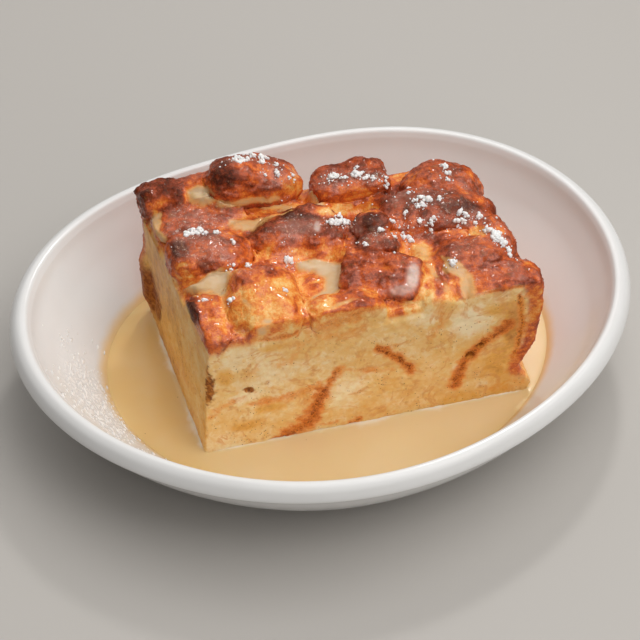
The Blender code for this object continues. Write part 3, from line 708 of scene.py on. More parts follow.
def porcelain():
    nodes = Nodes("porcelain")
    cloud = nodes.span(nodes.noise(26, 2), 0.35, 0.65)
    colour = nodes.mix(cloud, (0.765, 0.757, 0.745), (0.785, 0.778, 0.768))
    # Sauce thins out up the wall, and sugar has melted on the wall's left.
    wash = nodes.vary(nodes.attribute("wash"), nodes.noise(5, 2), 0.3, 0.7, 0.06)
    colour = nodes.mix(nodes.span(wash, 0.05, 1), colour, (0.79, 0.56, 0.27))
    smear = nodes.times(nodes.attribute("smear"), nodes.span(nodes.noise(1.8, 3, 0.6, 0.4), 0.46, 0.6))
    colour = nodes.tint(colour, (0.9, 0.87, 0.84), smear, 0.85)
    ripple = nodes.bump(smear, 0.8, 0.25, Normal=nodes.bump(nodes.noise(9, 1), 0.25, 0.08))
    return nodes.set(Base_Color=colour, Roughness=nodes.span(nodes.noise(4), 0.3, 0.7, 0.16, 0.24),
                     Coat_Weight=0.15, Coat_Roughness=0.08, Normal=ripple, Specular_IOR_Level=0.4)


# Where the sugar has melted on the wall: bearing in degrees, share of the rim's radius, half sizes of both.
SMEAR = (187, 0.8, 21, 0.095)
SMEAR_SEED, SMEAR_GRAINS = 5, 420
# Sauce thins out up the wall between these heights, in millimetres above its level.
WASH_BAND = (4.5, -0.5)


def make_dish():
    outside = smooth_profile(OUTSIDE[2:9])
    step = smooth_profile(OUTSIDE[8:11])
    lip = smooth_profile(OUTSIDE[10:] + LIP + INSIDE[:2])
    inside = smooth_profile(INSIDE[1:])
    outer = list(OUTSIDE[:2]) + outside[:-1] + step[:-1] + lip[:-1]
    rings = [dish_ring(share, z) for share, z in outer]
    rings += [dish_ring(share, z, inside_drift(share)) for share, z in inside]
    dish = loft("dish_glazed", rings)
    wash, smear = [], []
    bearing, middle, half_turn, half_share = SMEAR
    for row, (share, z) in enumerate(outer + inside):
        within = row >= len(outer)
        for k in range(DISH_SIDES):
            away = math.hypot((360.0 * k / DISH_SIDES - bearing) / half_turn, (share - middle) / half_share)
            wash.append(within * ease(*WASH_BAND, z - CUSTARD_TOP_Z))
            smear.append(within * ease(1, 0.3, away))
    store(dish.data, "wash", wash)
    store(dish.data, "smear", smear)
    dish.data.materials.append(porcelain())
    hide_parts("dish")
    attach(dish, "root")
    return dish


# Pudding

def slab_corners(z):
    share = (z - SLAB_Z) / (CRUST_LINE_Z - SLAB_Z)
    return [(a[0] + (b[0] - a[0]) * share, a[1] + (b[1] - a[1]) * share)
            for a, b in zip(SLAB_FOOT, SLAB_TOP)]


def slab_outline(z, end_out, steps, spare=0):
    """The slab's plan at one height, with rounded corners, going round from the front left."""
    left_front, right_front, right_back, left_back = slab_corners(z)
    corners = [
        Vector((left_front[0] - spare, left_front[1] - spare)),
        Vector((right_front[0] + end_out, right_front[1] - spare)),
        Vector((right_back[0] + end_out, right_back[1])),
        Vector((left_back[0] - spare, left_back[1])),
    ]
    outline = []
    for side, (here, there) in enumerate(zip(corners, corners[1:] + corners[:1])):
        run = (there - here).normalized()
        start, stop = here + run * CORNER_ROUND, there - run * CORNER_ROUND
        for k in range(steps[side % 2]):
            outline.append(start.lerp(stop, k / (steps[side % 2] - 1)))
        beyond = corners[(side + 2) % 4]
        turned = there + (beyond - there).normalized() * CORNER_ROUND
        for k in range(1, CORNER_STEPS):
            t = k / CORNER_STEPS
            outline.append((1 - t) ** 2 * stop + 2 * t * (1 - t) * there + t ** 2 * turned)
    return outline


FRONT_CUT = SLAB_FOOT[0][1]


def left_cut(y, z):
    """Where the left knife cut stands at this depth and height."""
    left_front, _, _, left_back = slab_corners(z)
    share = (y - left_front[1]) / (left_back[1] - left_front[1])
    return left_front[0] + (left_back[0] - left_front[0]) * share


def beside_cuts(x, y, z):
    """The nearest place that the knife left."""
    y = max(y, FRONT_CUT)
    return max(x, left_cut(y, z)), y


CORE_LEVELS = [SLAB_Z, 7.2, 8.2] + [9.3 + 1.5 * k for k in range(28)] + [51.5]


def core_rings():
    rings = []
    for z in CORE_LEVELS:
        ring = []
        for point in slab_outline(z, along(END_CRUST, z), (90, 60), KNIFE_SPARE):
            out = (point - SLAB_MIDDLE).normalized()
            rough = CRUST_RELIEF * noise.noise(Vector((*point, z)) / 9) if z > PLAIN_BELOW_Z else 0
            ring.append((*beside_cuts(point.x + out.x * rough, point.y + out.y * rough, z), z))
        rings.append(ring)
    top = []
    for x, y, _ in rings[-1]:
        inner = SLAB_MIDDLE + (Vector((x, y)) - SLAB_MIDDLE) * CORE_TOP_SHARE
        top.append((*inner, CORE_TOP_Z - CORE_TOP_FALL * inner.y))
    return rings + [top]


def bread_turn(block):
    """How a piece of bread is turned."""
    yaw, forward, sideways = (math.radians(angle) for angle in block[2])
    return Euler((forward, 0, yaw)).to_matrix() @ Euler((0, sideways, 0)).to_matrix()


def bread_shape(block, seed):
    """One rounded block of bread, held behind the knife cuts."""
    centre, half, _, square, _ = block
    bm = bmesh.new()
    bmesh.ops.create_cube(bm, size=2)
    bmesh.ops.subdivide_edges(bm, edges=bm.edges, cuts=BREAD_CUTS, use_grid_fill=True)
    spin = bread_turn(block)
    shift = Vector((seed * 7.3, seed * 3.1, seed * 5.7))
    for vert in bm.verts:
        x, y, z = vert.co
        reach = (abs(x) ** square + abs(y) ** square + abs(z) ** square) ** (1 / square)
        point = Vector((x * half[0], y * half[1], z * half[2])) / reach
        point *= 1 + BREAD_RELIEF * noise.noise(point / BREAD_RELIEF_SIZE + shift)
        point = spin @ point + Vector(centre)
        vert.co = world(*beside_cuts(point.x, point.y, point.z), point.z)
    return bm


def apply_modifiers(piece):
    graph = bpy.context.evaluated_depsgraph_get()
    mesh = bpy.data.meshes.new_from_object(piece.evaluated_get(graph))
    piece.modifiers.clear()
    piece.data = mesh


def slab_mesh():
    """The core and the pieces of bread, melted into one skin."""
    core = loft("core", core_rings())
    bm = bmesh.new()
    bm.from_mesh(core.data)
    bpy.data.objects.remove(core)
    for seed, block in enumerate(BREAD.values()):
        lump = bread_shape(block, seed)
        scrap = bpy.data.meshes.new("lump")
        lump.to_mesh(scrap)
        lump.free()
        bm.from_mesh(scrap)
        bpy.data.meshes.remove(scrap)
    slab = new_piece("baked_slab", bm)
    remesh = slab.modifiers.new("remesh", "REMESH")
    remesh.mode, remesh.voxel_size = "VOXEL", VOXEL * MM
    apply_modifiers(slab)
    thin_out(slab)
    slab.data.shade_smooth()
    return slab


def thin_out(slab):
    """Fewer faces where the slab is flat and rarely seen: the underside, the back and the right end."""
    points, _ = read_points(slab.data)
    x, y, z = points.T
    hidden_side = (z < 47) & ((y > 30) | (x > 50)) & (y > -29) & (x > -50)
    plain = np.nonzero((z < SLAB_Z + 1) | hidden_side)[0]
    slab.vertex_groups.new(name="plain").add([int(k) for k in plain], 1, "REPLACE")
    fewer = slab.modifiers.new("fewer", "DECIMATE")
    fewer.ratio, fewer.vertex_group, fewer.vertex_group_factor = PLAIN_SHARE, "plain", 1000
    apply_modifiers(slab)
    slab.vertex_groups.clear()


def fill_creases(mesh, points, normals, rounds):
    """How deep each place lies below its evened-out neighbourhood: above 0 in creases, below 0 on ridges."""
    even = np.stack([smooth_over(mesh, column, rounds) for column in points.T.copy()], axis=1)
    return ((even - points) * normals).sum(axis=1)


def shifted_most(grid, steps):
    """Each cell's highest value within a round reach."""
    padded = np.pad(grid, steps, constant_values=NOWHERE)
    rows, columns = grid.shape
    best = grid.copy()
    for i in range(2 * steps + 1):
        for j in range(2 * steps + 1):
            if (i - steps) ** 2 + (j - steps) ** 2 <= steps ** 2:
                best = np.maximum(best, padded[i:i + rows, j:j + columns])
    return best


def valley_level(points, normals):
    """How high custard has soaked up between the pieces of bread: a rolling ball's path, a little lower."""
    top = (normals[:, 2] > 0.1) & (points[:, 2] > TOP_BAND[0])
    low = points[:, :2].min(axis=0) - 1
    cells = ((points[:, :2] - low) / VALLEY_CELL).astype(int)
    grid = np.full(cells.max(axis=0) + 2, NOWHERE)
    np.maximum.at(grid, tuple(cells[top].T), points[top, 2])
    reach = int(VALLEY_REACH / VALLEY_CELL)
    closed = -shifted_most(-shifted_most(grid, reach), reach)
    for _ in range(6):
        around = sum(np.roll(np.roll(closed, i, 0), j, 1) for i in (-1, 0, 1) for j in (-1, 0, 1)) / 9
        closed = np.where(closed > 0, around, closed)
    return closed[tuple(cells.T)] - VALLEY_DEPTH


def inside_block(points, block):
    """Each point in a block's own directions: the block's skin is where the reach is 1."""
    centre, half, _, square, _ = block
    spin = np.array(bread_turn(block))
    local = (points - np.array(centre)) @ spin / np.array(half)
    reach = (np.abs(local) ** square).sum(axis=1) ** (1 / square)
    return local, reach


def ellipse(points, x, y, half_x, half_y, turn, axes=(0, 1)):
    """0 in the middle of a turned ellipse and 1 on its edge."""
    angle = math.radians(turn)
    a, b = points[:, axes[0]] - x, points[:, axes[1]] - y
    along_x = a * math.cos(angle) + b * math.sin(angle)
    along_y = -a * math.sin(angle) + b * math.cos(angle)
    return np.hypot(along_x / half_x, along_y / half_y)


def line_distance(points, line):
    """Distance of points from a line through several places, in the plane or in space."""
    best = np.full(len(points), np.inf)
    for start, stop in zip(line, line[1:]):
        start, run = np.array(start), np.array(stop) - np.array(start)
        t = np.clip((points - start) @ run / (run @ run), 0, 1)
        best = np.minimum(best, np.linalg.norm(points - start - t[:, None] * run, axis=1))
    return best


def open_hollows(points):
    """Pushes the faces in where the knife opened a hollow."""
    for centre, half, push in HOLLOWS.values():
        local = (points - np.array(centre)) / np.array(half)
        towards = np.array((push[0] / half[0], push[1] / half[1], 0)) / math.hypot(*push)
        inside = (local ** 2).sum(axis=1) < 1
        a, b, c = (towards ** 2).sum(), local @ towards, (local ** 2).sum(axis=1) - 1
        reach = (-b + np.sqrt(np.maximum(b ** 2 - a * c, 0))) / a
        shift = np.where(inside, reach, 0)[:, None] * np.array((*push, 0)) / math.hypot(*push)
        points += shift
    return points


def smooth_over(mesh, values, rounds):
    """Evens values out between neighbouring points."""
    edges = np.empty(len(mesh.edges) * 2, dtype=np.int64)
    mesh.edges.foreach_get("vertices", edges)
    a, b = edges.reshape(-1, 2).T
    size = len(values)
    count = np.bincount(a, minlength=size) + np.bincount(b, minlength=size)
    for _ in range(rounds):
        total = np.bincount(a, values[b], minlength=size) + np.bincount(b, values[a], minlength=size)
        values = 0.5 * values + 0.5 * total / np.maximum(count, 1)
    return values


def seen(points):
    """Where the camera sees each point, in pixels, and which way the camera lies from the slab."""
    back, right = np.array(CAMERA_BACK), np.array(CAMERA_RIGHT)
    away = points - np.array(CAMERA_AIM) - back * CAMERA_DISTANCE
    scale = PICTURE * CAMERA_LENS / CAMERA_SENSOR / -(away @ back)
    across, up = scale * (away @ right), scale * (away @ np.cross(back, right))
    return np.stack((PICTURE / 2 + across, PICTURE / 2 - up), axis=1), back


def most(shares):
    """The highest of several shares at each point."""
    return np.maximum.reduce(list(shares))


def outline_share(picture, outline, soft):
    """1 inside an outline and 0 outside it, going over softly."""
    x, y = picture.T
    inside = np.zeros(len(picture), dtype=bool)
    for (x0, y0), (x1, y1) in zip(outline, outline[1:] + outline[:1]):
        if y0 != y1:
            inside ^= ((y0 > y) != (y1 > y)) & (x < (x1 - x0) * (y - y0) / (y1 - y0) + x0)
    away = line_distance(picture, outline + outline[:1])
    return ease(-soft, soft, np.where(inside, away, -away))


def spot_share(points, middle, half, wobble=0):
    """1 inside a rounded spot with an uneven edge, 0 outside it."""
    local = (points - np.array(middle)) / np.array(half)
    return ease(1.25, 0.5, np.sqrt((local ** 2).sum(axis=1)) + wobble)


def run_share(points, line, half_width, wobble):
    """1 along a line through several places, 0 beside it."""
    return ease(1.5, 0.4, line_distance(points, line) / half_width + wobble)


def cut_faces(points, normals, low_noise):
    """How far each point belongs to the front cut, to the left cut and to the underside."""
    x, y, z = points.T
    front = ease(0.55, 0.8, -normals[:, 1]) * ease(1.2, 0.5, y - FRONT_CUT)
    left_edge = np.array([left_cut(b, c) for b, c in zip(y, z)])
    left = ease(0.5, 0.8, -normals[:, 0]) * ease(1.4, 0.6, x - left_edge)
    left *= ease(1, -0.6, z - 54.0 + 1.2 * low_noise)
    under = ease(0.6, 0.9, -normals[:, 2]) * ease(9, 7.5, z)
    return front, left * ease(33, 30.5, y + low_noise), under


def bake_crust(points, normals, low_noise, mid_noise, wrinkle, ridged, soaked, end):
    """Brownness from the nearest pieces of bread and the spots."""
    weight_sum, bake = CORE_WEIGHT, CORE_WEIGHT * CORE_BAKE
    for block in BREAD.values():
        local, reach = inside_block(points, block)
        crest, side = block[4]
        height = local[:, 2] / np.maximum(reach, 0.2) + 0.22 * low_noise + 0.12 * mid_noise
        tone = side + (crest - side) * ease(0.05, 0.62, height)
        weight = np.exp(-9.0 * np.maximum(reach - 0.98, 0) * min(block[1]) / 6)
        bake, weight_sum = bake + weight * tone, weight_sum + weight
    bake = bake / weight_sum
    end_bake = END_BAKE + 0.16 * speckle(points, 11, 9, 2) + 0.1 * low_noise + 0.06 * mid_noise
    end_bake -= 0.1 * ease(-29, -33, points[:, 1]) + 0.22 * ease(22, 14, points[:, 2])
    bake += (end_bake - bake) * end
    bake += (SOAKED_BAKE + 0.16 * low_noise + 0.08 * mid_noise - bake) * 0.75 * ease(0.3, 2, soaked)
    wobble = 0.2 * low_noise + 0.14 * mid_noise
    picture, back = seen(points)
    facing = ease(-0.05, 0.2, normals @ back) * (1 - 0.7 * end)
    for *place, tone, strength in SPOTS.values():
        spot = ease(1.25, 0.5, ellipse(picture, *place) + wobble)
        bake += (tone - bake) * strength * spot * facing
    bake += (0.2 * (wrinkle - 0.5) + 0.07 * mid_noise) * ease(0.1, 0.5, bake)
    bake += 0.36 * np.clip(-ridged, -0.5, 0.3) * ease(0.1, 0.4, bake)
    return bake


def fill_slab(mesh):
    """Fills the creases and valleys between the pieces of bread, and tells how far the custard rose there."""
    points, normals = read_points(mesh)
    filling = np.clip(fill_creases(mesh, points, normals, CREASE_ROUNDS), 0, CREASE_MOST)
    points += normals * filling[:, None] * ease(*CREASE_BAND, points[:, 2])[:, None]
    write_points(mesh, points)
    points, normals = read_points(mesh)
    z = points[:, 2]
    kept = most(ease(1.3, 0.8, ellipse(points, *place)) for place in VALLEY_KEPT.values())
    lift = np.clip(valley_level(points, normals) - z, 0, VALLEY_MOST)
    lift *= ease(0, 0.4, normals[:, 2]) * ease(*TOP_BAND, z)
    soaked = smooth_over(mesh, lift * VALLEY_SHARE * (1 - kept), SOFT_ROUNDS)
    points[:, 2] += soaked
    write_points(mesh, points)
    return soaked


def along_pieces(points):
    """Each point in the directions of its own piece of bread, drawn out along it."""
    folded, nearest = points.copy(), np.full(len(points), 9.0)
    for seed, block in enumerate(BREAD.values()):
        local, reach = inside_block(points, block)
        stretch = np.array([2.6 if half == max(block[1]) else 1.0 for half in block[1]])
        mine = reach < nearest
        folded[mine] = (local * np.array(block[1]) / stretch)[mine] + 31.0 * seed
        nearest = np.minimum(nearest, reach)
    return folded


def paint_slab(slab):
    """Works out where the slab is cut, baked, glazed or dusted, and gives its skin its relief."""
    mesh = slab.data
    soaked = fill_slab(mesh)
    points, normals = read_points(mesh)
    x, y, z = points.T.copy()
    ridged = fill_creases(mesh, points, normals, RIDGE_ROUNDS)
    low_noise, mid_noise = speckle(points, LOW_SIZE, 1), speckle(points, MID_SIZE, 2)
    fine_noise, hole_noise = speckle(points, FINE_SIZE, 3, 2), speckle(points, HOLE_SIZE, 8, 1)
    wobble = 0.2 * low_noise + 0.14 * mid_noise
    folded = along_pieces(points)
    wrinkle, fold = creases(folded, WRINKLE_SIZE, 4), speckle(folded, FOLD_SIZE, 6, 2)
    on_top = ease(*TOP_BAND, z)

    front_plane, left, under = cut_faces(points, normals, low_noise)
    right_edge = SLAB_FOOT[1][0] + np.interp(z, *zip(*END_CRUST))
    rind = ease(6.6, 4.2, right_edge - x + 0.8 * mid_noise) * ease(60, 57, z) * ease(13, 20, z)
    above_line = z - np.interp(x, *zip(*CRUST_LINE)) + 1.3 * low_noise + 0.6 * mid_noise
    cut = np.clip(front_plane * ease(1.7, -1.5, above_line) * (1 - rind) + left + under, 0, 1)
    outward = np.maximum(normals[:, 0], normals[:, 1])
    end = np.maximum(ease(0.1, 0.6, outward) * ease(55, 49, z), rind * front_plane)
    bake = bake_crust(points, normals, low_noise, mid_noise, 0.5 * wrinkle + 0.5 * fold, ridged, soaked, end)
    corner = ease(0.2, 0.6, -normals[:, 0]) * ease(29.5, 31.5, y) * ease(12, 18, z) * ease(50, 42, z)
    bake += (CORNER_BAKE + 0.1 * low_noise - bake) * corner

    # Glaze: level pools, then runs over the bread, then a film of melted sugar.
    cream, filled = np.zeros(len(points)), z.copy()
    upward = ease(0, 0.4, normals[:, 2])
    picture, back = seen(points)
    picture += np.stack((1.3 * low_noise + 0.6 * mid_noise, 1.3 * np.roll(low_noise, 7) + 0.6 * fold), axis=1)
    in_view = ease(0, 0.2, normals @ back)
    for outline, level, strength in POOLS.values():
        inside = outline_share(picture, outline, POOL_EDGE) * upward * in_view * on_top
        depth = np.median(z[inside > 0.7]) + level - z
        raised = np.maximum(filled, z + POOL_FILL * depth * inside)
        filled = np.where((inside > 0) & (depth > 0), raised, filled)
        cream = np.maximum(cream, strength * inside * ease(-3.6, -0.4, depth))
    runs = most(strength * run_share(points, *line, 1.2 * wobble) for *line, strength in RUNS.values())
    cream = smooth_over(mesh, np.maximum(cream, runs) * (1 - cut), SOFT_ROUNDS)
    # Milky glaze, partly a painted highlight where the glaze catches the light.
    milk_and_sheen = most(strength * ease(1.35, 0.35, ellipse(picture, *place)) for *place, strength in MILK_AND_SHEEN_SPOTS.values())
    milk_and_sheen *= in_view * ease(46, 50, z)
    film = most(strength * spot_share(points, *place, 1.6 * wobble) for *place, strength in FILMS.values())
    dusted = most(
        ease(1.7, 0.6, ellipse(points, heap_x, heap_y, half_x + 1.2, half_y + 1.2, 0) + 1.3 * wobble)
        for heap_x, heap_y, half_x, half_y, _ in SUGAR.values())
    film = np.maximum(film, 0.5 * dusted * upward) * (1 - cut)
    points[:, 2] = z + smooth_over(mesh, filled - z, SOFT_ROUNDS)

    # Crusts in the cut, the holes along them, paler or yellower bread, and painted shade by the right end and
    # on the left.
    halo, core, patch = np.zeros(len(points)), np.zeros(len(points)), np.zeros(len(points))
    shifted = np.stack((x + 0.7 * low_noise, z + 0.5 * mid_noise), axis=1)
    for line, half_width, strength, darkness in STREAKS.values():
        away = line_distance(shifted, line) / half_width
        torn = away + 0.42 * low_noise + 0.4 * mid_noise + 0.2 * fine_noise
        halo = np.maximum(halo, strength * ease(1.9, 0.1, torn) * front_plane)
        core = np.maximum(core, darkness * ease(0.62, 0.05, away + 0.3 * mid_noise) * front_plane)
    pores = np.maximum(0.8 * core, 0.35 * rind * front_plane) * ease(0.34, 0.56, hole_noise)
    pits = cut * ease(0.34, 0.62, speckle(points, 1.5, 12, 2)) * ease(-0.1, 0.4, low_noise)
    crack = np.zeros(len(points))
    for middle, half, _ in HOLLOWS.values():
        local = (points - np.array(middle)) / (np.array(half) + 0.5)
        away = np.sqrt((local ** 2).sum(axis=1)) + 0.4 * mid_noise + 0.3 * fine_noise
        crack = np.maximum(crack, (0.8 if half[2] > 5 else 1) * ease(1.15, 0.6, away))
    marked = outline_share(picture, LEFT_MARK, 2.6) * ease(0.1, 0.4, -normals[:, 0]) * ease(44, 40, z)
    cut, core = np.maximum(cut, marked), np.maximum(core, 0.75 * marked)
    pores, crack = np.maximum(pores, 0.7 * marked), np.maximum(crack, 0.9 * marked)
    for *place, tone in PATCHES.values():
        edge = ellipse(points, *place, axes=(0, 2)) + 0.22 * low_noise
        patch += (tone - patch) * ease(1.35, 0.45, edge) * front_plane
    # Painted shade: the left cut is drawn browner, more so towards the back.
    patch += left * (0.6 + 0.7 * ease(-20, 26, y) + 0.5 * low_noise) * (1 - front_plane)

    # Relief: a folded, wrinkled crust, rougher ends, nearly flat cuts and level glaze.
    firm = 0.35 + 0.65 * ease(0.2, 0.6, bake)
    crust = (1 - cut) * (1 - 0.93 * ease(0.15, 0.7, cream)) * firm * (1 - 0.75 * end)
    rise = crust * (0.36 * low_noise + 0.36 * mid_noise + 0.44 * (wrinkle - 0.5)
                    + 0.24 * fold + 0.14 * fine_noise)
    rise += end * (0.14 * mid_noise + 0.08 * fine_noise) * ease(12, 24, z)
    rise += cut * (0.18 * low_noise + 0.15 * mid_noise + 0.07 * fine_noise)
    rise -= 0.1 * halo * front_plane + 0.5 * pores + 0.3 * pits
    rise *= 1 - ease(0.6, 0.95, -normals[:, 2]) * ease(9, 7.5, z)
    points = open_hollows(points + normals * rise[:, None])
    middle, half, out = CORNER_SWELL
    points[:, 0] -= out * spot_share(points, middle, half)
    points[:, 2] = np.clip(points[:, 2], SLAB_Z, CEILING_Z)
    write_points(mesh, points)

    store(mesh, "patch", patch)
    for name, values in {"bake": bake, "cut": cut, "cream": cream, "film": film, "halo": halo, "core": core,
                         "milk_and_sheen": milk_and_sheen * (1 - cut), "pores": pores, "pits": pits, "crack": crack}.items():
        store(mesh, name, np.clip(values, 0, 1))


BAKED_COLOURS = (
    (0, (0.92, 0.63, 0.27)),
    (0.15, (0.89, 0.455, 0.125)),
    (0.29, (0.83, 0.268, 0.04)),
    (0.43, (0.69, 0.146, 0.022)),
    (0.58, (0.48, 0.08, 0.016)),
    (0.76, (0.24, 0.04, 0.012)),
    (1, (0.075, 0.018, 0.01)),
)
CUSTARD_COLOURS = (
    (0, (1, 0.81, 0.51)),
    (0.33, (0.9, 0.585, 0.235)),
    (0.62, (0.85, 0.45, 0.105)),
    (1, (0.52, 0.2, 0.042)),
)
# Milky glaze, its paler end partly a painted highlight.
MILK_AND_SHEEN_COLOURS = (
    (0, (0.44, 0.13, 0.08)),
    (0.45, (0.52, 0.23, 0.17)),
    (0.75, (0.72, 0.54, 0.46)),
    (1, (0.84, 0.74, 0.66)),
)
HALO_COLOURS = (
    (0, (0.88, 0.43, 0.11)),
    (0.4, (0.86, 0.28, 0.045)),
    (0.75, (0.6, 0.14, 0.018)),
    (1, (0.3, 0.06, 0.01)),
)


def baked_material():
    nodes = Nodes("baked_pudding")
    bake, cut, cream, film, halo, core, pores, milk_and_sheen = (
        nodes.attribute(name) for name in ("bake", "cut", "cream", "film", "halo", "core", "pores", "milk_and_sheen"))
    broad, middle, fine = nodes.noise(6, 3), nodes.noise(1.8, 4, 0.6), nodes.noise(0.55, 2)

    # Crust: baked shades, mottled at three sizes, under flecks, a veil, powdered sugar and milky glaze;
    # the veil is partly painted wet sheen, and the milky glaze partly a painted highlight.
    mottle = nodes.vary(nodes.span(broad, 0.25, 0.75, -0.18, 0.18, False), middle, 0.25, 0.75, 0.17)
    mottle = nodes.vary(mottle, fine, 0.3, 0.7, 0.08)
    deeper = nodes.math("ADD", nodes.math("ADD", bake, mottle), nodes.span(bake, 0.15, 0.5, 0, 0.1))
    crust = nodes.ramp(deeper, BAKED_COLOURS)
    flecks = nodes.times(nodes.span(nodes.noise(0.8, 2, 0.5, 0.8), 0.6, 0.68),
                         nodes.span(nodes.noise(4, 1), 0.45, 0.6))
    crust = nodes.tint(crust, (0.85, 0.5, 0.34), flecks, nodes.span(film, 0, 0.6, 0.12, 0.5))
    # A whitish veil of melted sugar, partly painted wet sheen.
    veil_and_sheen = nodes.times(film, nodes.span(middle, 0.34, 0.62, 0.25, 1))
    crust = nodes.tint(crust, (0.72, 0.36, 0.27), veil_and_sheen, 0.28)
    powder = nodes.times(film, nodes.span(nodes.noise(1, 4, 0.65, 0.6), 0.56, 0.67))
    crust = nodes.tint(crust, (0.84, 0.7, 0.6), powder, 0.55)
    # Milky glaze, partly a painted highlight.
    crust = nodes.tint(crust, nodes.ramp(milk_and_sheen, MILK_AND_SHEEN_COLOURS), milk_and_sheen, 0.85)

    # Cut: set custard with paler bread in it.
    bread = nodes.math("ADD", nodes.span(nodes.noise(13, 3, 0.5), 0.35, 0.65, 0.22, 0.44, False),
                       nodes.times(nodes.attribute("patch"), 0.33))
    crumb = nodes.noise(2.4, 5, 0.65, 0.5)
    inner = nodes.ramp(nodes.vary(bread, crumb, 0.3, 0.7, 0.17), CUSTARD_COLOURS)
    # Soaked seams wander through the bread, tan and thin, and small pits lie between them.
    seam = nodes.math("ABSOLUTE", nodes.math("SUBTRACT", nodes.noise(15, 5, 0.62, 0.8), 0.5))
    seam = nodes.times(nodes.span(seam, 0, 0.045, 1, 0), nodes.span(broad, 0.42, 0.58))
    inner = nodes.tint(inner, (0.77, 0.36, 0.11), seam, 0.75)
    inner = nodes.tint(inner, (0.66, 0.3, 0.085), nodes.attribute("pits"), 0.6)
    # Crusts inside the cut: stained at the edge, dark and gritty inside, with cracks and vanilla specks.
    stain = nodes.vary(nodes.times(halo, 0.95), crumb, 0.3, 0.7, 0.15)
    depth = nodes.vary(nodes.times(halo, 0.75), fine, 0.3, 0.7, 0.16)
    inner = nodes.tint(inner, nodes.ramp(depth, HALO_COLOURS), nodes.span(stain, 0.06, 0.85, 0, 0.92),
                       nodes.span(halo, 0, 0.12))
    grit = nodes.times(core, nodes.span(nodes.noise(0.7, 2, 0.6), 0.5, 0.62))
    inner = nodes.tint(inner, (0.15, 0.032, 0.007), grit, 0.95)
    dark = nodes.mix(nodes.span(middle, 0.4, 0.62), (0.22, 0.052, 0.007), (0.6, 0.21, 0.034))
    crack = nodes.attribute("crack")
    inner = nodes.mix(nodes.span(crack, 0.1, 0.8, 0, 0.95), inner, dark)
    speck = nodes.times(nodes.span(nodes.cells(1.2), 0.12, 0.19, 1, 0),
                        nodes.span(nodes.noise(7, 2), 0.48, 0.58))
    inner = nodes.tint(inner, (0.27, 0.085, 0.018), speck, 0.85)
    colour = nodes.tint(nodes.mix(cut, crust, inner), (0.2, 0.05, 0.012), pores, 0.7)

    # Glaze over both, golden where it thins out.
    sheet = nodes.vary(cream, middle, 0.3, 0.7, 0.14)
    colour = nodes.mix(nodes.span(sheet, 0.04, 0.45, 0, 0.7), colour, (0.84, 0.44, 0.13))
    glaze = nodes.mix(nodes.span(broad, 0.35, 0.65), (0.61, 0.395, 0.19), (0.66, 0.48, 0.29))
    colour = nodes.mix(nodes.span(sheet, 0.16, 1), colour, glaze)

    level = nodes.math("MAXIMUM", nodes.span(sheet, 0.2, 0.7), nodes.span(milk_and_sheen, 0.1, 0.5))
    dry = nodes.math("MAXIMUM", nodes.math("MAXIMUM", crack, core), nodes.span(deeper, 0.6, 0.9, 0, 0.75))
    height = nodes.math("ADD", nodes.times(middle, 0.6), nodes.times(fine, 0.5))
    return nodes.set(
        Base_Color=colour,
        Roughness=nodes.blend(level, nodes.blend(cut, nodes.span(middle, 0.3, 0.7, 0.38, 0.56), 0.4), 0.24),
        Coat_Weight=nodes.blend(dry, nodes.blend(cut, nodes.span(broad, 0.35, 0.6, 0.2, 0.68), 0.08), 0),
        Coat_Roughness=0.07,
        Specular_IOR_Level=nodes.blend(dry, nodes.blend(cut, 0.16, 0.2), 0.02),
        Normal=nodes.bump(height, nodes.blend(level, nodes.blend(cut, 0.85, 0.45), 0.06), 0.5),
        Subsurface_Weight=nodes.blend(nodes.math("MAXIMUM", cut, level), 0.06, 0.2),
        Subsurface_Radius=(1, 0.5, 0.2), Subsurface_Scale=0.0025)


def make_pudding():
    slab = slab_mesh()
    paint_slab(slab)
    slab.data.materials.append(baked_material())
    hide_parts("pudding")
    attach(slab, "root")
    triangles = sum(len(face.vertices) - 2 for face in slab.data.polygons)
    print("slab", len(slab.data.vertices), "points", triangles, "triangles")
    return slab


# Sugar

DROP_Z, DOWN = 200, Vector((0, 0, -1))
# Loose grains that would land lower than this, beside the slab, are left out.
GRAIN_LOW_Z = 20


def surface_of(piece):
    bm = bmesh.new()
    bm.from_mesh(piece.data)
    tree = BVHTree.FromBMesh(bm)
    bm.free()
    return tree


def landing(surface, x, y):
    """Where a grain that falls here lands, and the surface's direction there."""
    hit, normal, _, _ = surface.ray_cast(world(x, y, DROP_Z), DOWN)
    return hit, normal


def add_grain(bm, middle, radius, draw, subdivisions, flat=(0.6, 1)):
    grain = bmesh.ops.create_icosphere(bm, subdivisions=subdivisions, radius=1)
    spin = Euler([draw.uniform(0, math.pi) for _ in range(3)]).to_matrix()
    stretch = Vector((draw.uniform(0.75, 1.25), draw.uniform(0.75, 1.25), draw.uniform(*flat)))
    shift = Vector([draw.uniform(-50, 50) for _ in range(3)])
    for vert in grain["verts"]:
        lumpy = 1 + 0.35 * noise.noise(vert.co * 1.6 + shift)
        vert.co = spin @ Vector([a * b for a, b in zip(vert.co, stretch)]) * radius * MM * lumpy + middle


def sugar_material():
    nodes = Nodes("sugar")
    return nodes.set(Base_Color=(0.9, 0.88, 0.86), Roughness=0.75, Subsurface_Weight=0.35,
                     Subsurface_Radius=(1, 0.85, 0.75), Subsurface_Scale=0.0006,
                     Normal=nodes.bump(nodes.noise(0.25, 2), 0.5, 0.08))


def scatter(bm, surface, x, y, spread, count, sizes, fine):
    """Loose grains round a place."""
    for _ in range(count):
        out, way = abs(fine.gauss(0, 1)), fine.uniform(0, 2 * math.pi)
        hit, normal = landing(surface, x + spread[0] * out * math.cos(way),
                              y + spread[1] * out * math.sin(way))
        if hit is not None and normal.z > 0.15 and hit.z > GRAIN_LOW_Z * MM:
            size = fine.uniform(*sizes)
            add_grain(bm, hit + normal * size * 0.35 * MM, size, fine, 1)


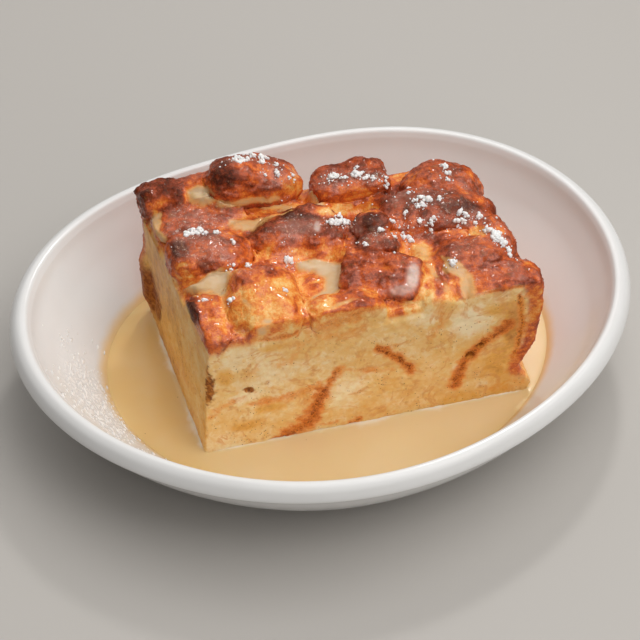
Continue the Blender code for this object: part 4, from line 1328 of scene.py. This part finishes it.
def heap(bm, surface, x, y, radius, fine):
    """One clump: a round lump with smaller ones stuck to it."""
    for k in range(fine.randint(4, 6)):
        out, way = (fine.uniform(0.6, 1.1) if k else 0) * radius, fine.uniform(0, 2 * math.pi)
        hit, normal = landing(surface, x + out * math.cos(way), y + out * math.sin(way))
        size = radius * (fine.uniform(0.38, 0.66) if k else 0.85)
        lift = min(size * 0.5, GRAIN_CEILING_Z - hit.z / MM - 0.8 * size)
        add_grain(bm, hit + normal * lift * MM, size, fine, 2)


def make_sugar(slab):
    """Clumps of sugar where the solid has them, each a heap of small lumps, with loose grains round them."""
    surface = surface_of(slab)
    draw, fine = random.Random(CLUMP_SEED), random.Random(CLUMP_SEED + 1)
    clumps, dust = bmesh.new(), bmesh.new()
    for x, y, half_x, half_y, count in SUGAR.values():
        for _ in range(count):
            turn, reach = draw.uniform(0, 2 * math.pi), math.sqrt(draw.random())
            spot_x, spot_y = x + half_x * reach * math.cos(turn), y + half_y * reach * math.sin(turn)
            radius = draw.uniform(*CLUMP_RADIUS)
            for _ in range(3):
                draw.uniform(0, math.pi)  # The solid's clump takes three more draws, for its turn.
            heap(clumps, surface, spot_x, spot_y, 0.8 * radius, fine)
            scatter(dust, surface, spot_x, spot_y, (1.6, 1.6), 5, (0.12, 0.32), fine)
        scatter(dust, surface, x, y, (half_x + 1.5, half_y + 1.5), 6 + 2 * count, (0.12, 0.45), fine)
    for x, y, radius in CLEAR_CLUMPS:
        heap(clumps, surface, x, y, radius, fine)
        scatter(dust, surface, x, y, (1.2, 1.2), 4, (0.12, 0.35), fine)
    for name, bm in (("sugar_clumps", clumps), ("sugar_dust", dust)):
        sugar = new_piece(name, bm)
        sugar.data.materials.append(sugar_material())
        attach(sugar, "root")
        print(name, len(sugar.data.polygons), "faces")


def dust_dish(dish):
    """Melted sugar grains on the wall of the dish, drawn out along it."""
    surface, fine, bm = surface_of(dish), random.Random(SMEAR_SEED), bmesh.new()
    bearing, middle, half_turn, half_share = SMEAR
    for _ in range(SMEAR_GRAINS):
        angle = math.radians(bearing + half_turn * max(-1.1, min(1.1, fine.gauss(0.15, 0.5))))
        share = middle + half_share * max(-0.9, min(1.2, fine.gauss(0, 0.5)))
        radius = share * rim_radius(angle)
        hit, normal = landing(surface, radius * math.cos(angle), radius * math.sin(angle))
        if hit is None or hit.z < (CUSTARD_TOP_Z + 0.6) * MM:
            continue
        size = fine.uniform(0.18, 0.56)
        first = len(bm.verts)
        add_grain(bm, Vector((0, 0, 0)), size, fine, 1, (0.4, 0.7))
        bm.verts.ensure_lookup_table()
        tangent = Vector((-math.sin(angle), math.cos(angle), 0))
        place = Matrix((tangent * fine.uniform(1.2, 3.2), normal.cross(tangent), normal * 0.5)).transposed()
        for vert in bm.verts[first:]:
            vert.co = place @ vert.co + hit + normal * size * 0.1 * MM
    sugar = new_piece("sugar_on_dish", bm)
    nodes = Nodes("melted_sugar")
    sugar.data.materials.append(nodes.set(
        Base_Color=(0.88, 0.85, 0.82), Roughness=0.35, Coat_Weight=0.3, Coat_Roughness=0.15,
        Normal=nodes.bump(nodes.noise(0.4, 2), 0.4, 0.08)))
    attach(sugar, "root")


# Custard

CUSTARD_STEPS = 36
# The sauce creeps up the slab and the dish: how high, and over how many millimetres it levels out.
CREEP_AT_SLAB, CREEP_AT_WALL = (0.6, 0.8), (0.12, 0.9)
# How far it reaches in under the slab's skin, and how far its paler edges reach out from slab and wall.
UNDER_SLAB, SLAB_EDGE, WALL_EDGE = 0.35, 1.5, 2.6


def ray_reach(outline, centre, ray):
    """How far a ray from the centre runs before it leaves an outline."""
    best = 0
    for a, b in zip(outline, outline[1:] + outline[:1]):
        edge, to_a = b - a, a - centre
        cross = ray.x * edge.y - ray.y * edge.x
        if abs(cross) > 1e-9:
            reach = (to_a.x * edge.y - to_a.y * edge.x) / cross
            share = (to_a.x * ray.y - to_a.y * ray.x) / cross
            if reach > 0 and -1e-6 <= share <= 1 + 1e-6:
                best = max(best, reach)
    return best


def custard_material():
    nodes = Nodes("custard_sauce")
    cloud = nodes.span(nodes.noise(30, 2), 0.35, 0.65)
    colour = nodes.mix(cloud, (0.77, 0.575, 0.305), (0.79, 0.6, 0.335))
    # On the pool's left: painted shade with orange light thrown back from the slab.
    colour = nodes.tint(colour, (0.77, 0.5, 0.185), nodes.attribute("deep"),
                        nodes.span(nodes.noise(18, 2), 0.3, 0.7, 0.7, 1))
    colour = nodes.tint(colour, (0.78, 0.51, 0.2), nodes.attribute("shore"), 0.6)
    film = nodes.math("ADD", nodes.attribute("at_slab"),
                      nodes.span(nodes.noise(11, 3), 0.35, 0.65, -0.55, 0.2, False))
    colour = nodes.mix(nodes.span(film, 0.2, 0.9, 0, 0.85), colour, (0.88, 0.78, 0.64))
    colour = nodes.tint(colour, (0.3, 0.13, 0.04), nodes.span(nodes.cells(8), 0.018, 0.03, 1, 0), 0.6)
    return nodes.set(
        Base_Color=colour, Roughness=0.22, Specular_IOR_Level=0.3, Coat_Weight=0.15, Coat_Roughness=0.1,
        Subsurface_Weight=0.25, Subsurface_Radius=(1, 0.55, 0.25), Subsurface_Scale=0.003,
        Normal=nodes.bump(nodes.noise(16, 1), 0.25, 0.12))


def make_custard():
    """The pool: a level top that creeps up the slab and the dish by its skin, and a closed underside."""
    wall = [(z, share) for share, z in reversed(INSIDE)]

    def wall_ring(at, z, inset=0):
        share = along(wall, at)
        return dish_ring(share, z, inside_drift(share), inset)

    outer = wall_ring(CUSTARD_TOP_Z + 0.3, CUSTARD_TOP_Z)
    slab_line = slab_outline(CUSTARD_TOP_Z, 0.2, (60, 40))
    inner = []
    for x, y, _ in outer:
        ray = (Vector((x, y)) - SLAB_MIDDLE).normalized()
        reach = ray_reach(slab_line, SLAB_MIDDLE, ray) - UNDER_SLAB
        inner.append((SLAB_MIDDLE.x + ray.x * reach, SLAB_MIDDLE.y + ray.y * reach))
    gaps = [math.hypot(x1 - x0, y1 - y0) for (x0, y0), (x1, y1, _) in zip(inner, outer)]
    rings, at_slab, shore = [], [], []
    for k in range(CUSTARD_STEPS + 1):
        t = k / CUSTARD_STEPS
        ring = []
        for (x0, y0), (x1, y1, _), gap in zip(inner, outer, gaps):
            x, y = x0 + (x1 - x0) * t, y0 + (y1 - y0) * t
            from_slab, from_wall = gap * t, gap * (1 - t)
            climb = sum(high * math.exp(-away / wide) for away, (high, wide) in (
                (from_slab, CREEP_AT_SLAB), (from_wall, CREEP_AT_WALL)))
            swell = 0.07 * noise.noise(Vector((x, y, 3)) / 14)
            ring.append((x, y, CUSTARD_TOP_Z + climb + swell))
            at_slab.append(math.exp(-from_slab / SLAB_EDGE))
            shore.append(math.exp(-from_wall / WALL_EDGE))
        rings.append(ring)
    rings.append(wall_ring(CUSTARD_TOP_Z + 0.7, CUSTARD_TOP_Z + 0.05))
    rings.append(wall_ring(SLAB_Z + 0.2, SLAB_Z, 0.3))
    rings.append([(x, y, SLAB_Z) for x, y in inner])
    pool = loft("custard_pool", rings, ends=False)
    hidden = [0] * (len(pool.data.vertices) - len(shore))
    store(pool.data, "at_slab", at_slab + hidden)
    store(pool.data, "shore", shore + hidden)
    # Where the pool's left gets its painted shade, more so further left.
    store(pool.data, "deep", [ease(-40, -58, vert.co.x / MM + MIDDLE.x) for vert in pool.data.vertices])
    pool.data.materials.append(custard_material())
    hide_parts("custard")
    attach(pool, "root")


aim_camera()
light_scene()
make_floor()
dust_dish(make_dish())
make_custard()
make_sugar(make_pudding())
